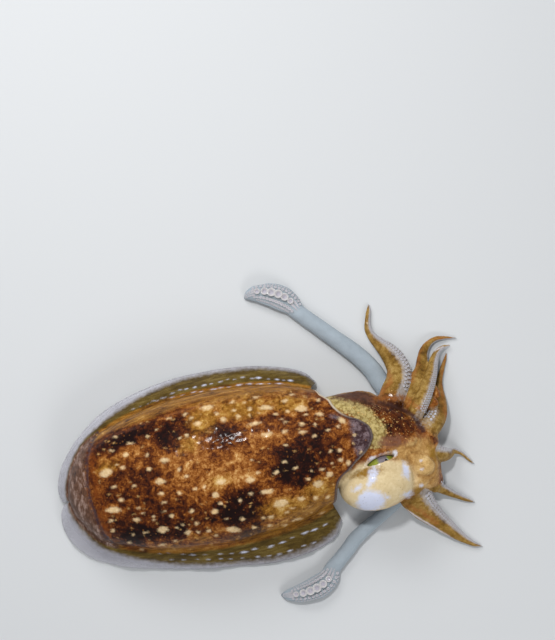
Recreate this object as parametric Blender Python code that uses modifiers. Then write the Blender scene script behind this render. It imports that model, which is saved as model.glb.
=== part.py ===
"""A broadclub cuttlefish lying belly down, as a life-size museum model made of one solid for each named part.

Sizes are in millimetres and become metres when a mesh is made. +X runs along the mantle towards the head,
+Y is the animal's left and +Z is up. The origin is the middle of the flat that the belly rests on, and z = 0
is the floor, so every part that lies on it is flattened there.
"""
import bisect
from math import atan2, cos, hypot, pi, radians, sin

import bmesh
import bpy
from mathutils import Matrix, Vector
from mathutils.bvhtree import BVHTree

MM = 0.001                 # metres in a millimetre
GAP = 0.32                 # clearance between parts that touch
OBJECT_NAME = "broadclub_cuttlefish"

MANTLE_REAR = -150.0       # rear end of the flesh, inside the fins
MANTLE_TRUNK = 100.0       # where the sections start to follow the front margin
# x and half width of the mantle, without its fins
MANTLE_HALF_WIDTH = [(-150, 0), (-148.5, 11), (-145, 21), (-139, 31), (-125, 48), (-100, 60), (-50, 73),
                     (0, 77), (50, 74), (90, 66), (110, 58), (118, 55), (160, 50)]
# x and height of the back, of the flanks where the fins grow, and of the belly
MANTLE_BACK = [(-150, 18), (-148.5, 25), (-145, 32), (-139, 39.5), (-130, 47), (-104, 60), (-70, 69),
               (-30, 74.5), (30, 76), (60, 75), (100, 71.5), (118, 69), (140, 66), (160, 62.5)]
MANTLE_FLANK = [(-150, 15), (-140, 17), (-120, 19), (-80, 21), (0, 22), (60, 22), (118, 23), (160, 30)]
MANTLE_BELLY = [(-150, 14), (-145, 8), (-135, 4), (-115, 1), (-90, -1), (-40, -2.5), (40, -2.5), (90, -1.5),
                (118, -0.6), (160, 4)]
# angle in degrees round the mantle, from its left over the back, and x of the front margin there
MANTLE_MARGIN = [(0, 114), (24, 118), (37, 125), (49, 128), (59, 133), (66, 140), (71, 149), (76, 154.5),
                 (82, 158.5), (90, 160), (95, 157.5), (100, 154), (105, 149), (112, 140), (120, 131),
                 (128, 121), (141, 115.5), (180, 112), (225, 109), (270, 107), (315, 110), (360, 114)]
MANTLE_ANGLES = [0, 12, 24, 37, 49, 59, 66, 72, 78, 84, 90, 96, 102, 108, 114, 121, 130, 142, 156, 168, 180,
                 196, 212, 228, 244, 260, 276, 292, 308, 324, 342]
MANTLE_STATIONS = [-148.5, -145, -139, -130, -118, -104, -88, -70, -48, -22, 6, 34, 60, 80, 93]
MARGIN_THICKNESS = 3.0     # of the free front rim, whose dorsal lobe lies over the neck
MARGIN_SLANT = 0.15        # shift of the rim's inner edge behind its outer one, as a share of its thickness
POCKET_CENTRE = (90.0, 0.0, 33.0)

# Fins: where each grows from the flank and where its edge lies, seen from above, from the rear forwards
FIN_LEFT_ROOT = [(-149.5, -2.5), (-149.5, 5), (-146, 17), (-138, 32), (-124, 48.5), (-100, 60), (-70, 69),
                 (-30, 75.5), (10, 76.8), (50, 74), (80, 68.5), (104, 60.5), (110, 58.5)]
FIN_LEFT_EDGE = [(-156.5, -3), (-159.5, 8), (-156.5, 21), (-149, 36), (-132, 55), (-104, 75.5), (-73, 87.5),
                 (-32, 95.5), (10, 97), (52, 93.5), (84, 86), (106, 76.5), (117, 64)]
FIN_RIGHT_ROOT = [(-149.5, -3.6), (-149.3, -8), (-146, -17), (-138, -32), (-124, -48.5), (-100, -60),
                  (-70, -69), (-35, -75), (0, -77), (40, -75.3), (74, -70), (98, -62.5), (108, -59)]
FIN_RIGHT_EDGE = [(-157, -6), (-161.5, -16), (-160.5, -34), (-151, -51), (-135, -66), (-106, -79.5),
                  (-74, -88), (-38, -95.5), (0, -100.5), (42, -105), (80, -101.5), (104, -92.5),
                  (114.5, -77)]
FIN_ROOT_THICKNESS = 5.0
FIN_EDGE_THICKNESS = 1.1
FIN_EDGE_HEIGHT = 4.6
FIN_STATIONS = 28
FIN_LANES = 4

# Head: x, left and right side, top and underside of its core
HEAD_CORE = [(92, 30, -34, 55, 16), (98, 38, -38, 62, 9), (108, 43.5, -41, 64.6, 5),
             (118, 46.5, -43, 65, 1.5), (132, 47.5, -45, 63, -1.5), (146, 46.5, -46, 60.8, -2.5),
             (160, 42.5, -47, 58.6, -2.5), (174, 35.5, -50, 56, -2.5), (188, 26, -56, 52, -1.5),
             (200, 17.5, -62, 47.5, 1), (210, 4, -64, 42, 4), (217, -10, -61, 36, 8),
             (222, -24, -50, 29, 14)]
# centre, half sizes and turn in degrees about +Z of the rounded masses that swell from the core
HEAD_MASSES = {
    "right_eye_bulge": ((155, -48, 38), (38.5, 26.5, 26), 1),
    "left_eye_bulge": ((149, 20, 28), (33, 27.5, 24), -4),
    "right_cheek": ((203, -40, 31), (17, 16, 16), 0),
    "brow": ((196, -13, 41.5), (11, 10, 9), 0),
    "arm_crown": ((205, -26, 24), (19, 37, 20), -12),
    "right_jowl": ((189, -51, 30), (14, 17, 17), 0),
}
HEAD_STATIONS = 27
HEAD_SIDES = 28
HEAD_VOXEL = 1.6
HEAD_SMOOTHING = 20
HEAD_TRIANGLES = 1080

# Eyes: centre, radius, direction of the look, half length and half height of the opening, its turn in degrees
EYES = {
    "left": ((150, 25, 28), 19.5, (0.06, 0.97, -0.2), 16.0, 9.0, 0.0),
    "right": ((161.5, -34.0, 36.7), 19.5, (0.05, 0.43, 0.9), 15.8, 3.7, 12.0),
}
LID_RADIUS = 1.7
LID_SIDES = 5

# Arms: x, y, z of the middle, width seen from above and height, from the root inside the head to the tip
ARMS = {
    "arm_left_4": [(200, 0, 12, 15, 13), (212, 18, 8, 13, 11), (222, 35, 5.2, 11, 9.5), (229, 47, 4, 8, 7.5),
                   (234, 57, 2.8, 5, 5.2), (236, 63, 1.8, 2, 2)],
    "arm_right_4": [(182, -44, 27, 30, 20), (190, -66, 20, 33, 17), (198, -82, 12, 27, 14),
                    (208, -95, 7.4, 20, 12), (219, -108, 5.4, 15, 10), (230, -119.5, 3.8, 9, 7.2),
                    (240, -128, 2.6, 5, 5), (248, -132, 1.2, 1.4, 1.6)],
    "arm_left_3": [(176, 12, 27, 24, 18), (189.5, 36.5, 26, 26, 20), (198.5, 50, 18.5, 25, 19),
                   (201, 60, 12, 24, 18), (199, 70, 8.6, 22, 17), (194, 80, 7, 18, 14),
                   (187, 90, 5.2, 12.5, 10.5), (182, 98, 4.2, 8.8, 8.4), (179.5, 106, 3.6, 7.2, 7.2),
                   (181, 115, 3, 6, 6), (184, 124, 2.3, 4.6, 4.8), (185.5, 131, 1.2, 1.4, 1.6)],
    "arm_left_2": [(192, 4, 24, 20, 17), (211, 30, 21, 20, 17), (219, 45, 13.5, 19, 15),
                   (224, 55, 9, 14.5, 12.5), (227, 64, 6, 12, 10), (230, 72, 4.6, 9.6, 8.6),
                   (236, 79, 3.6, 7, 7), (244, 82.5, 2.8, 5, 5.4), (254, 82, 2.1, 3.6, 4),
                   (266, 79, 1.2, 1.4, 1.6)],
    "arm_right_1": [(198, -18, 27, 22, 18), (218, -2, 26, 25, 19), (229, 8, 19.5, 21, 17),
                    (235, 20, 12.5, 14, 13), (237, 32, 8, 9.4, 9.2), (240, 42, 4.6, 6.6, 7),
                    (245, 52, 3, 5, 5.2), (250, 61, 2, 3.4, 3.8), (253, 67, 1.2, 1.4, 1.6)],
    "arm_left_1": [(190, -6, 33, 16, 14), (213, 20, 34, 16, 14.5), (225, 37, 26.5, 14, 13.5),
                   (233, 51, 18, 11, 11), (238, 62, 11, 8.6, 9), (243, 69, 6.6, 6, 6.4),
                   (249, 72.5, 4.2, 4.4, 4.8), (258, 73.5, 3, 1.4, 1.6)],
    "arm_right_2": [(200, -28, 27, 19, 17), (217, -30, 27, 18, 17), (227, -33, 20.5, 15, 14),
                    (233, -33.5, 13, 10.5, 10), (238.5, -32, 7.6, 6.4, 6.6), (245.5, -35.5, 4, 4.2, 4.8),
                    (252, -43, 2.4, 3.2, 3.6), (257, -49, 1.2, 1.3, 1.6)],
    "arm_right_3": [(198, -50, 26, 20, 17), (211, -60, 17, 15, 13.5), (221, -68, 9, 9.6, 9.4),
                    (231, -75.5, 5, 6.6, 7), (241, -82, 3, 4.6, 5), (250, -87, 1.2, 1.4, 1.6)],
}
ARM_SIDES = 8
ARM_STEP = 6.8             # along the middle of an arm
# angle in degrees of the sucker side in an arm's section: 0 is level on its right, 90 is up
SUCKER_SIDE = {"arm_left_4": 50, "arm_right_4": 150, "arm_left_3": 32, "arm_left_2": 32, "arm_right_1": 30,
               "arm_left_1": 30, "arm_right_2": 140, "arm_right_3": 140}
SUCKER_ROW_SPREAD = 24     # degrees of the section from the middle of that side to each of its two rows
SUCKER_SHARE = 0.20        # a sucker's width, as a share of the arm's, and what the smallest adds to it
SUCKER_LEAST = 0.8
SUCKER_PITCH = 1.95        # from one to the next in a row, as a share of its width, and what is added to it
SUCKER_PITCH_LEAST = 1.2
SUCKER_SIDES = 5
SUCKER_CLEARANCE = 0.7     # to the floor and to any other part

# Tentacles: the same five values for each stalk, then for each club
STALKS = {
    "left": [(198, 16, 12, 18, 14), (189, 34, 8.4, 19, 14), (181, 50, 6.6, 19, 13.5),
             (175, 65, 6.2, 19, 13.2), (166, 79, 6.1, 18.5, 13), (155, 92, 6, 18, 12.8),
             (143, 105, 6, 17, 12.6), (131, 118, 5.9, 16.5, 12.4), (119, 131, 5.8, 16, 12),
             (113, 138, 5.6, 16.5, 11.6)],
    "right": [(200, -36, 10, 14, 12), (187, -55, 7.2, 13.5, 12), (172, -70, 5.8, 13, 11.6),
              (160, -77.5, 5.6, 12.6, 11.4), (148, -84, 5.5, 13.2, 11.2), (136, -90.5, 5.5, 14, 11.2),
              (124, -98, 5.5, 14.5, 11.2), (113, -108, 5.4, 14.6, 11), (102, -117, 5.3, 15, 10.8),
              (96, -122, 5.2, 16, 10.4)],
}
CLUBS = {
    "left": [(113, 138, 5.6, 16.5, 11.6), (108, 146, 5.4, 21, 11), (99, 154.5, 5.3, 24.5, 11),
             (87, 161, 5.2, 22, 10.6), (76, 164, 4.8, 17, 9.6), (68, 163.5, 3.8, 10, 7.6),
             (65, 162.5, 2.6, 5, 5)],
    "right": [(96, -122, 5.2, 16, 10.4), (90, -130.5, 5.2, 20, 10.6), (78, -137, 5.2, 23, 10.8),
              (64, -140, 5, 20, 10.2), (52, -140, 4.4, 14.5, 9), (44, -139.2, 3.4, 9, 6.8),
              (41, -138.8, 2.4, 4.6, 4.6)],
}
CLUB_FACE = {"left": 82, "right": 96}      # angle in degrees of the sucker side in a club's section
# club suckers by row: degrees from the middle of that side, shares of the club's length at its ends, count,
# and the radius at those ends
CLUB_ROWS = [(-4, 0.20, 0.76, 6, 3.2, 3.0), (-42, 0.10, 0.80, 9, 1.5, 1.3), (36, 0.12, 0.80, 9, 1.9, 1.4),
             (14, 0.83, 0.97, 4, 1.3, 0.8), (-18, 0.83, 0.97, 4, 1.3, 0.8)]
CLUB_SWELL = 1.45          # how much larger the suckers are half way along the middle row
CLUB_BIG_SIDES = 7
STALK_SIDES = 10
STALK_STEP = 9.0
CLUB_STEP = 5.6

# Funnel below the neck: the same five values, and its mouth
FUNNEL = [(97, -14, 15, 34, 20), (108, -18, 12.5, 31, 20), (122, -23.5, 10.2, 27, 18),
          (138, -30, 8.6, 22, 16), (152, -36, 7.4, 17, 14), (163, -41, 7, 14, 13)]
FUNNEL_WALL = 2.6
FUNNEL_SIDES = 14
MOUTH_CENTRE = (221, -20, 20)
MOUTH_SIZES = (10, 10, 10)

SKIN_BROWN = (0.16, 0.055, 0.018)
FIN_OLIVE = (0.42, 0.36, 0.13)
HEAD_CREAM = (0.52, 0.33, 0.13)
ARM_GOLD = (0.50, 0.28, 0.07)
TENTACLE_WHITE = (0.66, 0.69, 0.74)
FLESH_PALE = (0.72, 0.66, 0.62)
EYE_GREEN = (0.36, 0.40, 0.10)


def smooth_slopes(xs, ys, limited):
    """Slopes for a cubic through the points, which, where limited, never swings past them."""
    steps = [(ys[k + 1] - ys[k]) / (xs[k + 1] - xs[k]) for k in range(len(xs) - 1)]
    slopes = [steps[0]]
    for k in range(1, len(xs) - 1):
        before, after = xs[k] - xs[k - 1], xs[k + 1] - xs[k]
        if limited and steps[k - 1] * steps[k] <= 0:
            slopes.append(0.0)
        elif limited:
            slopes.append(2 * steps[k - 1] * steps[k] / (steps[k - 1] + steps[k]))
        else:
            slopes.append((steps[k - 1] * after + steps[k] * before) / (before + after))
    return slopes + [steps[-1]]


def smooth_line(xs, ys, limited=True):
    """A function of x that runs smoothly through the points (x, y)."""
    slopes = smooth_slopes(xs, ys, limited)

    def value(x):
        x = min(max(x, xs[0]), xs[-1])
        k = min(max(bisect.bisect_right(xs, x) - 1, 0), len(xs) - 2)
        span = xs[k + 1] - xs[k]
        t = (x - xs[k]) / span
        return (ys[k] * (1 + 2 * t) * (1 - t) ** 2 + slopes[k] * span * t * (1 - t) ** 2
                + ys[k + 1] * t * t * (3 - 2 * t) - slopes[k + 1] * span * t * t * (1 - t))
    return value


def columns(rows):
    return [list(column) for column in zip(*rows)]


def smooth_table(rows):
    """A function of the first column that gives the others, each smooth and never past its points."""
    first, *others = columns(rows)
    lines = [smooth_line(first, values) for values in others]
    return lambda x: [line(x) for line in lines]


def route(rows, step=None, count=None, end=0.0):
    """Evenly spaced rows along a smooth route, given as x, y, z, width, height, less a length at its end."""
    lengths = [0.0]
    for one, two in zip(rows, rows[1:]):
        lengths.append(lengths[-1] + hypot(*(b - a for a, b in zip(one[:3], two[:3]))))
    xs = columns(rows)
    lines = [smooth_line(lengths, xs[k], limited=k > 2) for k in range(len(xs))]
    last = lengths[-1] - end
    count = count or max(4, round(last / step) + 1)
    return [[line(last * k / (count - 1)) for line in lines] for k in range(count)]


def frames(samples):
    """For each row of a route: its middle, and the directions along it, level to its right, and up."""
    middles = [Vector(row[:3]) for row in samples]
    found = []
    for k, middle in enumerate(middles):
        along = (middles[min(k + 1, len(middles) - 1)] - middles[max(k - 1, 0)]).normalized()
        right = along.cross(Vector((0, 0, 1))).normalized()
        found.append((middle, along, right, right.cross(along)))
    return found


def material(name, colour, roughness=0.45):
    made = bpy.data.materials.new(name)
    made.use_nodes = True
    shader = made.node_tree.nodes["Principled BSDF"]
    shader.inputs["Base Color"].default_value = (*colour, 1.0)
    shader.inputs["Roughness"].default_value = roughness
    shader.inputs["Metallic"].default_value = 0.0
    return made


def mesh_object(name, bm, colour=None):
    """A new object of the shape in bm, which is in millimetres."""
    bmesh.ops.triangulate(bm, faces=[face for face in bm.faces if len(face.verts) > 4])
    mesh = bpy.data.meshes.new(name)
    bm.to_mesh(mesh)
    bm.free()
    mesh.transform(Matrix.Scale(MM, 4))
    made = bpy.data.objects.new(name, mesh)
    parts.objects.link(made)
    if colour:
        mesh.materials.append(material(name, colour))
    return made


def loft(name, rings, colour=None, start_pole=None, end_pole=None):
    """A closed skin through rings of points. An end is closed by its pole, or by the middle of its ring."""
    bm = bmesh.new()
    rows = [[bm.verts.new(point) for point in ring] for ring in rings]
    for one, two in zip(rows, rows[1:]):
        for k in range(len(one)):
            after = (k + 1) % len(one)
            bm.faces.new((one[k], one[after], two[after], two[k]))
    for row, pole, outwards in ((rows[0], start_pole, False), (rows[-1], end_pole, True)):
        middle = pole or sum((vert.co for vert in row), Vector()) / len(row)
        tip = bm.verts.new(middle)
        for k in range(len(row)):
            pair = (row[k], row[(k + 1) % len(row)])
            bm.faces.new((*(pair if outwards else reversed(pair)), tip))
    bmesh.ops.recalc_face_normals(bm, faces=bm.faces)
    return mesh_object(name, bm, colour)


def floor_limit(point):
    return Vector((point[0], point[1], max(point[2], 0.0)))


def tube(name, samples, sides, colour, tip=False):
    """A tube of oval sections along a route, flat on the floor where it meets it, pointed if tip is set."""
    rings = []
    for row, (middle, along, right, up) in zip(samples, frames(samples)):
        ring = []
        for side in range(sides):
            angle = 2 * pi * (side + 0.5) / sides
            offset = right * (cos(angle) * row[3] / 2) + up * (sin(angle) * row[4] / 2)
            ring.append(floor_limit(middle + offset))
        rings.append(ring)
    end_pole = None
    if tip:
        middle, along, right, up = frames(samples)[-1]
        end_pole = floor_limit(middle + along * samples[-1][3] * 0.5)
    return loft(name, rings, colour, end_pole=end_pole)


def ellipsoid(name, centre, sizes, turn=0.0, segments=32, rings=20):
    bm = bmesh.new()
    bmesh.ops.create_uvsphere(bm, u_segments=segments, v_segments=rings, radius=1.0)
    place = Matrix.Translation(centre) @ Matrix.Rotation(radians(turn), 4, "Z") @ Matrix.Diagonal((*sizes, 1))
    bmesh.ops.transform(bm, matrix=place, verts=bm.verts)
    return mesh_object(name, bm)


def remove(*objects):
    for unwanted in objects:
        mesh = unwanted.data
        bpy.data.objects.remove(unwanted)
        bpy.data.meshes.remove(mesh)


def settle(target):
    """Applies the modifiers of an object and keeps only its largest closed surface."""
    bpy.context.view_layer.update()
    shown = target.evaluated_get(bpy.context.evaluated_depsgraph_get())
    mesh = bpy.data.meshes.new_from_object(shown)
    target.modifiers.clear()
    old, target.data = target.data, mesh
    mesh.name = target.name
    bpy.data.meshes.remove(old)
    bm = bmesh.new()
    bm.from_mesh(mesh)
    bmesh.ops.remove_doubles(bm, verts=bm.verts, dist=0.002 * MM)
    bmesh.ops.dissolve_degenerate(bm, edges=bm.edges, dist=0.002 * MM)
    bmesh.ops.triangulate(bm, faces=bm.faces)
    keep_largest(bm)
    bm.to_mesh(mesh)
    bm.free()


def keep_largest(bm):
    """Removes every closed surface but the one round the most space."""
    left, shells = set(bm.faces), []
    while left:
        stack = [left.pop()]
        shell = list(stack)
        while stack:
            for edge in stack.pop().edges:
                for face in edge.link_faces:
                    if face in left:
                        left.remove(face)
                        stack.append(face)
                        shell.append(face)
        corners = [[vert.co for vert in face.verts] for face in shell]
        volume = abs(sum(c[0].dot(c[1].cross(c[2])) for c in corners))
        shells.append((volume, shell))
    shells.sort(key=lambda pair: -pair[0])
    for volume, shell in shells[1:]:
        verts = {vert for face in shell for vert in face.verts}
        bmesh.ops.delete(bm, geom=list(verts), context="VERTS")


def boolean(target, cutters, operation):
    """Joins or cuts target with the cutters, which are removed."""
    group = bpy.data.collections.new("cutters")
    bpy.context.scene.collection.children.link(group)
    for cutter in cutters:
        parts.objects.unlink(cutter)
        group.objects.link(cutter)
        cutter.hide_render = True
        cutter.display_type = "WIRE"
    change = target.modifiers.new(operation, "BOOLEAN")
    change.operation = operation
    change.operand_type = "COLLECTION"
    change.collection = group
    settle(target)
    remove(*cutters)
    bpy.data.collections.remove(group)


def grown(source, distance=GAP):
    """A copy of an object, larger all round by a distance in millimetres."""
    bm = bmesh.new()
    bm.from_mesh(source.data)
    bm.normal_update()
    moves = [vert.normal * distance * MM * min(vert.calc_shell_factor(), 1.6) for vert in bm.verts]
    for vert, move in zip(bm.verts, moves):
        vert.co += move
    mesh = bpy.data.meshes.new(source.name + "_grown")
    bm.to_mesh(mesh)
    bm.free()
    made = bpy.data.objects.new(mesh.name, mesh)
    parts.objects.link(made)
    return made


def clear_of(target, *neighbours):
    """Cuts target clear of its neighbours, one after another."""
    for neighbour in neighbours:
        if boxes_meet(target, neighbour):
            boolean(target, [grown(neighbour)], "DIFFERENCE")


def boxes_meet(one, two, margin=2 * GAP):
    """True if the two objects' boxes are closer than a margin in millimetres."""
    spans = []
    for owner in (one, two):
        places = [owner.matrix_world @ vert.co for vert in owner.data.vertices]
        spans.append([(min(p[k] for p in places), max(p[k] for p in places)) for k in range(3)])
    return all(a[0] - margin * MM < b[1] and b[0] - margin * MM < a[1] for a, b in zip(*spans))


def mantle_point(x, angle, inset=0.0):
    """A point on the mantle at x, at an angle in degrees from its left over the back."""
    half_width, = half_width_at(x)
    back, flank, belly = back_at(x)[0], flank_at(x)[0], belly_at(x)[0]
    c, s = cos(radians(angle)), sin(radians(angle))
    power = 2 / 2.25 if s >= 0 else 2 / 2.6
    reach = (back - flank if s >= 0 else flank - belly) - inset
    y = max(half_width - inset, 0.0) * abs(c) ** power * (1 if c > 0 else -1)
    z = flank + max(reach, 0.0) * abs(s) ** power * (1 if s > 0 else -1)
    return Vector((x, y, max(z, inset)))


half_width_at = smooth_table(MANTLE_HALF_WIDTH)
back_at = smooth_table(MANTLE_BACK)
flank_at = smooth_table(MANTLE_FLANK)
belly_at = smooth_table(MANTLE_BELLY)
margin_at = smooth_table(MANTLE_MARGIN)


def mantle():
    """The sac of the body, from its rear end to the front margin, with the hollow that holds the neck."""
    rings = [[mantle_point(x, angle) for angle in MANTLE_ANGLES] for x in MANTLE_STATIONS]
    outer, inner = [0.0, 0.35, 0.7, 1.0], [1.0, 0.5, 0.1]
    for share, inset in [(s, 0.0) for s in outer] + [(s, MARGIN_THICKNESS) for s in inner]:
        ring = []
        for angle in MANTLE_ANGLES:
            margin, = margin_at(angle)
            x = MANTLE_TRUNK + (margin - MANTLE_TRUNK) * share - inset * MARGIN_SLANT
            ring.append(mantle_point(x, angle, inset))
        rings.append(ring)
    centre = Vector(POCKET_CENTRE)
    rings.append([point.lerp(centre, 0.25) for point in rings[-1]])
    return loft("mantle", rings, SKIN_BROWN, start_pole=mantle_point(MANTLE_REAR, 0), end_pole=centre)


def matched_curve(points, others):
    """Points of a smooth curve, placed where those of the other curve are, by their numbers."""
    marks = list(range(len(points)))
    lines = [smooth_line(marks, values, limited=False) for values in columns(points)]
    return [Vector([line(mark) for line in lines]) for mark in others]


def fin(name, root_points, edge_points, side):
    """One side fin: a thin blade from the flank, drooping to a wavy edge just above the floor."""
    marks = [(len(root_points) - 1) * k / (FIN_STATIONS - 1) for k in range(FIN_STATIONS)]
    roots, edges = matched_curve(root_points, marks), matched_curve(edge_points, marks)
    upper, lower = [], []
    for mark, root, edge in zip(marks, roots, edges):
        root_height = flank_at(root.x)[0]
        wave = 1.5 * sin(mark * 2.9 + side) + 0.8 * sin(mark * 5.3)
        edge_height = FIN_EDGE_HEIGHT + wave
        line = []
        for lane in range(-1, FIN_LANES + 1):
            share = lane / FIN_LANES
            place = root.lerp(edge, share)
            drop = max(share, 0) ** 1.35
            line.append(Vector((*place, root_height + (edge_height - root_height) * drop)))
        for rows, sign in ((upper, 1), (lower, -1)):
            row = []
            for lane, point in enumerate(line):
                along = (line[min(lane + 1, len(line) - 1)] - line[max(lane - 1, 0)]).normalized()
                outwards = Vector((along.x, along.y, 0))
                normal = Vector((*(-outwards.normalized() * along.z).xy, outwards.length))
                share = max(lane - 1, 0) / FIN_LANES
                thickness = FIN_ROOT_THICKNESS + (FIN_EDGE_THICKNESS - FIN_ROOT_THICKNESS) * share ** 0.7
                row.append(point + normal * (sign * thickness / 2))
            rows.append(row)
    bm = bmesh.new()
    tops = [[bm.verts.new(point) for point in row] for row in upper]
    unders = [[bm.verts.new(point) for point in row] for row in lower]
    for rows in (tops, unders):
        for one, two in zip(rows, rows[1:]):
            for k in range(len(one) - 1):
                bm.faces.new((one[k], one[k + 1], two[k + 1]))
                bm.faces.new((one[k], two[k + 1], two[k]))
    for k in range(len(tops) - 1):
        for lane in (0, -1):
            bm.faces.new((tops[k][lane], tops[k + 1][lane], unders[k + 1][lane], unders[k][lane]))
    for row in (0, -1):
        for k in range(len(tops[0]) - 1):
            bm.faces.new((tops[row][k], tops[row][k + 1], unders[row][k + 1], unders[row][k]))
    bmesh.ops.recalc_face_normals(bm, faces=bm.faces)
    return mesh_object(name, bm, FIN_OLIVE)


def head():
    """The head, as one smooth mass of its core, eye bulges, cheek and the crown that the arms grow from."""
    core_at = smooth_table(HEAD_CORE)
    rings = []
    first, last = HEAD_CORE[0][0], HEAD_CORE[-1][0]
    for k in range(HEAD_STATIONS):
        x = first + (last - first) * k / (HEAD_STATIONS - 1)
        left, right, top, under = core_at(x)
        middle_y, middle_z = (left + right) / 2, (top + under) / 2
        ring = []
        for side in range(HEAD_SIDES):
            angle = 2 * pi * side / HEAD_SIDES
            c, s = cos(angle), sin(angle)
            power = 2 / 2.35
            ring.append(Vector((x, middle_y + (left - right) / 2 * abs(c) ** power * (1 if c > 0 else -1),
                                middle_z + (top - under) / 2 * abs(s) ** power * (1 if s > 0 else -1))))
        rings.append(ring)
    made = loft("head", rings, HEAD_CREAM)
    masses = [ellipsoid(name, *sizes) for name, sizes in HEAD_MASSES.items()]
    boolean(made, masses, "UNION")
    remesh = made.modifiers.new("even", "REMESH")
    remesh.mode = "VOXEL"
    remesh.voxel_size = HEAD_VOXEL * MM
    soften = made.modifiers.new("soften", "SMOOTH")
    soften.factor = 0.5
    soften.iterations = HEAD_SMOOTHING
    settle(made)
    thin = made.modifiers.new("thin", "DECIMATE")
    thin.ratio = HEAD_TRIANGLES / len(made.data.polygons)
    settle(made)
    boolean(made, [floor_block()], "DIFFERENCE")
    return made


def floor_block():
    """What lies below the floor, to cut parts flat there."""
    bm = bmesh.new()
    bmesh.ops.create_cube(bm, size=1.0)
    place = Matrix.Translation((50, 0, -50)) @ Matrix.Diagonal((700, 500, 100, 1))
    bmesh.ops.transform(bm, matrix=place, verts=bm.verts)
    return mesh_object("floor_block", bm)


def eye_axes(look, turn):
    """The directions out of an eye, along its opening towards the arms, and across the opening."""
    out = Vector(look).normalized()
    ahead = Vector((cos(radians(turn)), sin(radians(turn)), 0))
    ahead = (ahead - out * ahead.dot(out)).normalized()
    return out, ahead, out.cross(ahead)


def eye(name, centre, radius, look, half_length, half_height, turn):
    """An eyeball that fills its socket, with its pole in the direction of the look."""
    out, ahead, across = eye_axes(look, turn)
    bm = bmesh.new()
    bmesh.ops.create_uvsphere(bm, u_segments=14, v_segments=9, radius=radius)
    place = Matrix.Translation(centre) @ Matrix((ahead, across, out)).transposed().to_4x4()
    bmesh.ops.transform(bm, matrix=place, verts=bm.verts)
    return mesh_object(name, bm, EYE_GREEN)


def opening_ring(centre, radius, look, half_length, half_height, turn, depth, spread=1.0, count=16):
    """Points round the lens-shaped opening between the lids, at a depth along the look."""
    out, ahead, across = eye_axes(look, turn)
    ring = []
    for k in range(count):
        angle = 2 * pi * k / count
        height = half_height * abs(sin(angle)) ** 1.25 * (1 if sin(angle) > 0 else -1)
        offset = ahead * half_length * cos(angle) + across * height
        ring.append(Vector(centre) + out * depth + offset * spread)
    return ring


def lids(owner, name, values):
    """A raised rim round an eye's opening, on the head's surface, then the opening itself down to the eye."""
    centre, radius, look = values[:3]
    out = Vector(look).normalized()
    surface = surface_of(owner)
    rim = []
    for point in opening_ring(*values, depth=60.0, spread=1.16):
        hit = surface.ray_cast(point, -out)[0]
        rim.append(hit - out * 0.5)
    rings = []
    for k, point in enumerate(rim):
        along = (rim[(k + 1) % len(rim)] - rim[k - 1]).normalized()
        side = along.cross(out).normalized()
        rings.append([point + (side * cos(a) + side.cross(along) * sin(a)) * LID_RADIUS
                      for a in (2 * pi * corner / LID_SIDES for corner in range(LID_SIDES))])
    bm = bmesh.new()
    rows = [[bm.verts.new(point) for point in ring] for ring in rings]
    for k, row in enumerate(rows):
        after = rows[(k + 1) % len(rows)]
        for corner in range(LID_SIDES):
            beside = (corner + 1) % LID_SIDES
            bm.faces.new((row[corner], row[beside], after[beside], after[corner]))
    bmesh.ops.recalc_face_normals(bm, faces=bm.faces)
    boolean(owner, [mesh_object(name + "_lid", bm)], "UNION")
    shapes = [opening_ring(*values, depth=radius * 0.45, spread=0.92),
              opening_ring(*values, depth=radius + 14, spread=1.08)]
    boolean(owner, [loft(name + "_opening", shapes)], "DIFFERENCE")


def funnel():
    """The jet funnel under the neck, open at its front end."""
    samples = route(FUNNEL, count=9)
    outer = list(zip(samples, frames(samples)))
    inner = [outer[-1], outer[-2], outer[-3]]
    rings = []
    for wall, sections in ((0.0, outer), (FUNNEL_WALL, inner)):
        lift = Vector((0, 0, wall * 0.4))
        for row, (middle, along, right, up) in sections:
            across, tall = row[3] / 2 - wall, row[4] / 2 - wall
            ring = []
            for side in range(FUNNEL_SIDES):
                angle = 2 * pi * (side + 0.5) / FUNNEL_SIDES
                point = middle + right * (cos(angle) * across) + up * (sin(angle) * tall)
                ring.append(floor_limit(point) + lift)
            rings.append(ring)
    return loft("funnel", rings, FLESH_PALE)


def mouth():
    """The folded membrane round the mouth, between the roots of the arms."""
    bm = bmesh.new()
    bmesh.ops.create_uvsphere(bm, u_segments=16, v_segments=7, radius=1.0)
    for vert in bm.verts:
        fold = 1 + 0.06 * cos(8 * atan2(vert.co.y, vert.co.x))
        vert.co = Vector((vert.co.x * fold, vert.co.y * fold, vert.co.z))
    turned = Matrix.Rotation(pi / 2, 4, "Y") @ Matrix.Diagonal((*MOUTH_SIZES, 1))
    bmesh.ops.transform(bm, matrix=Matrix.Translation(MOUTH_CENTRE) @ turned, verts=bm.verts)
    return mesh_object("mouth", bm, FLESH_PALE)


def surface_of(owner):
    """A search tree of an object's faces, in millimetres."""
    return BVHTree.FromPolygons([vert.co / MM for vert in owner.data.vertices],
                                [face.vertices for face in owner.data.polygons])


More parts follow.
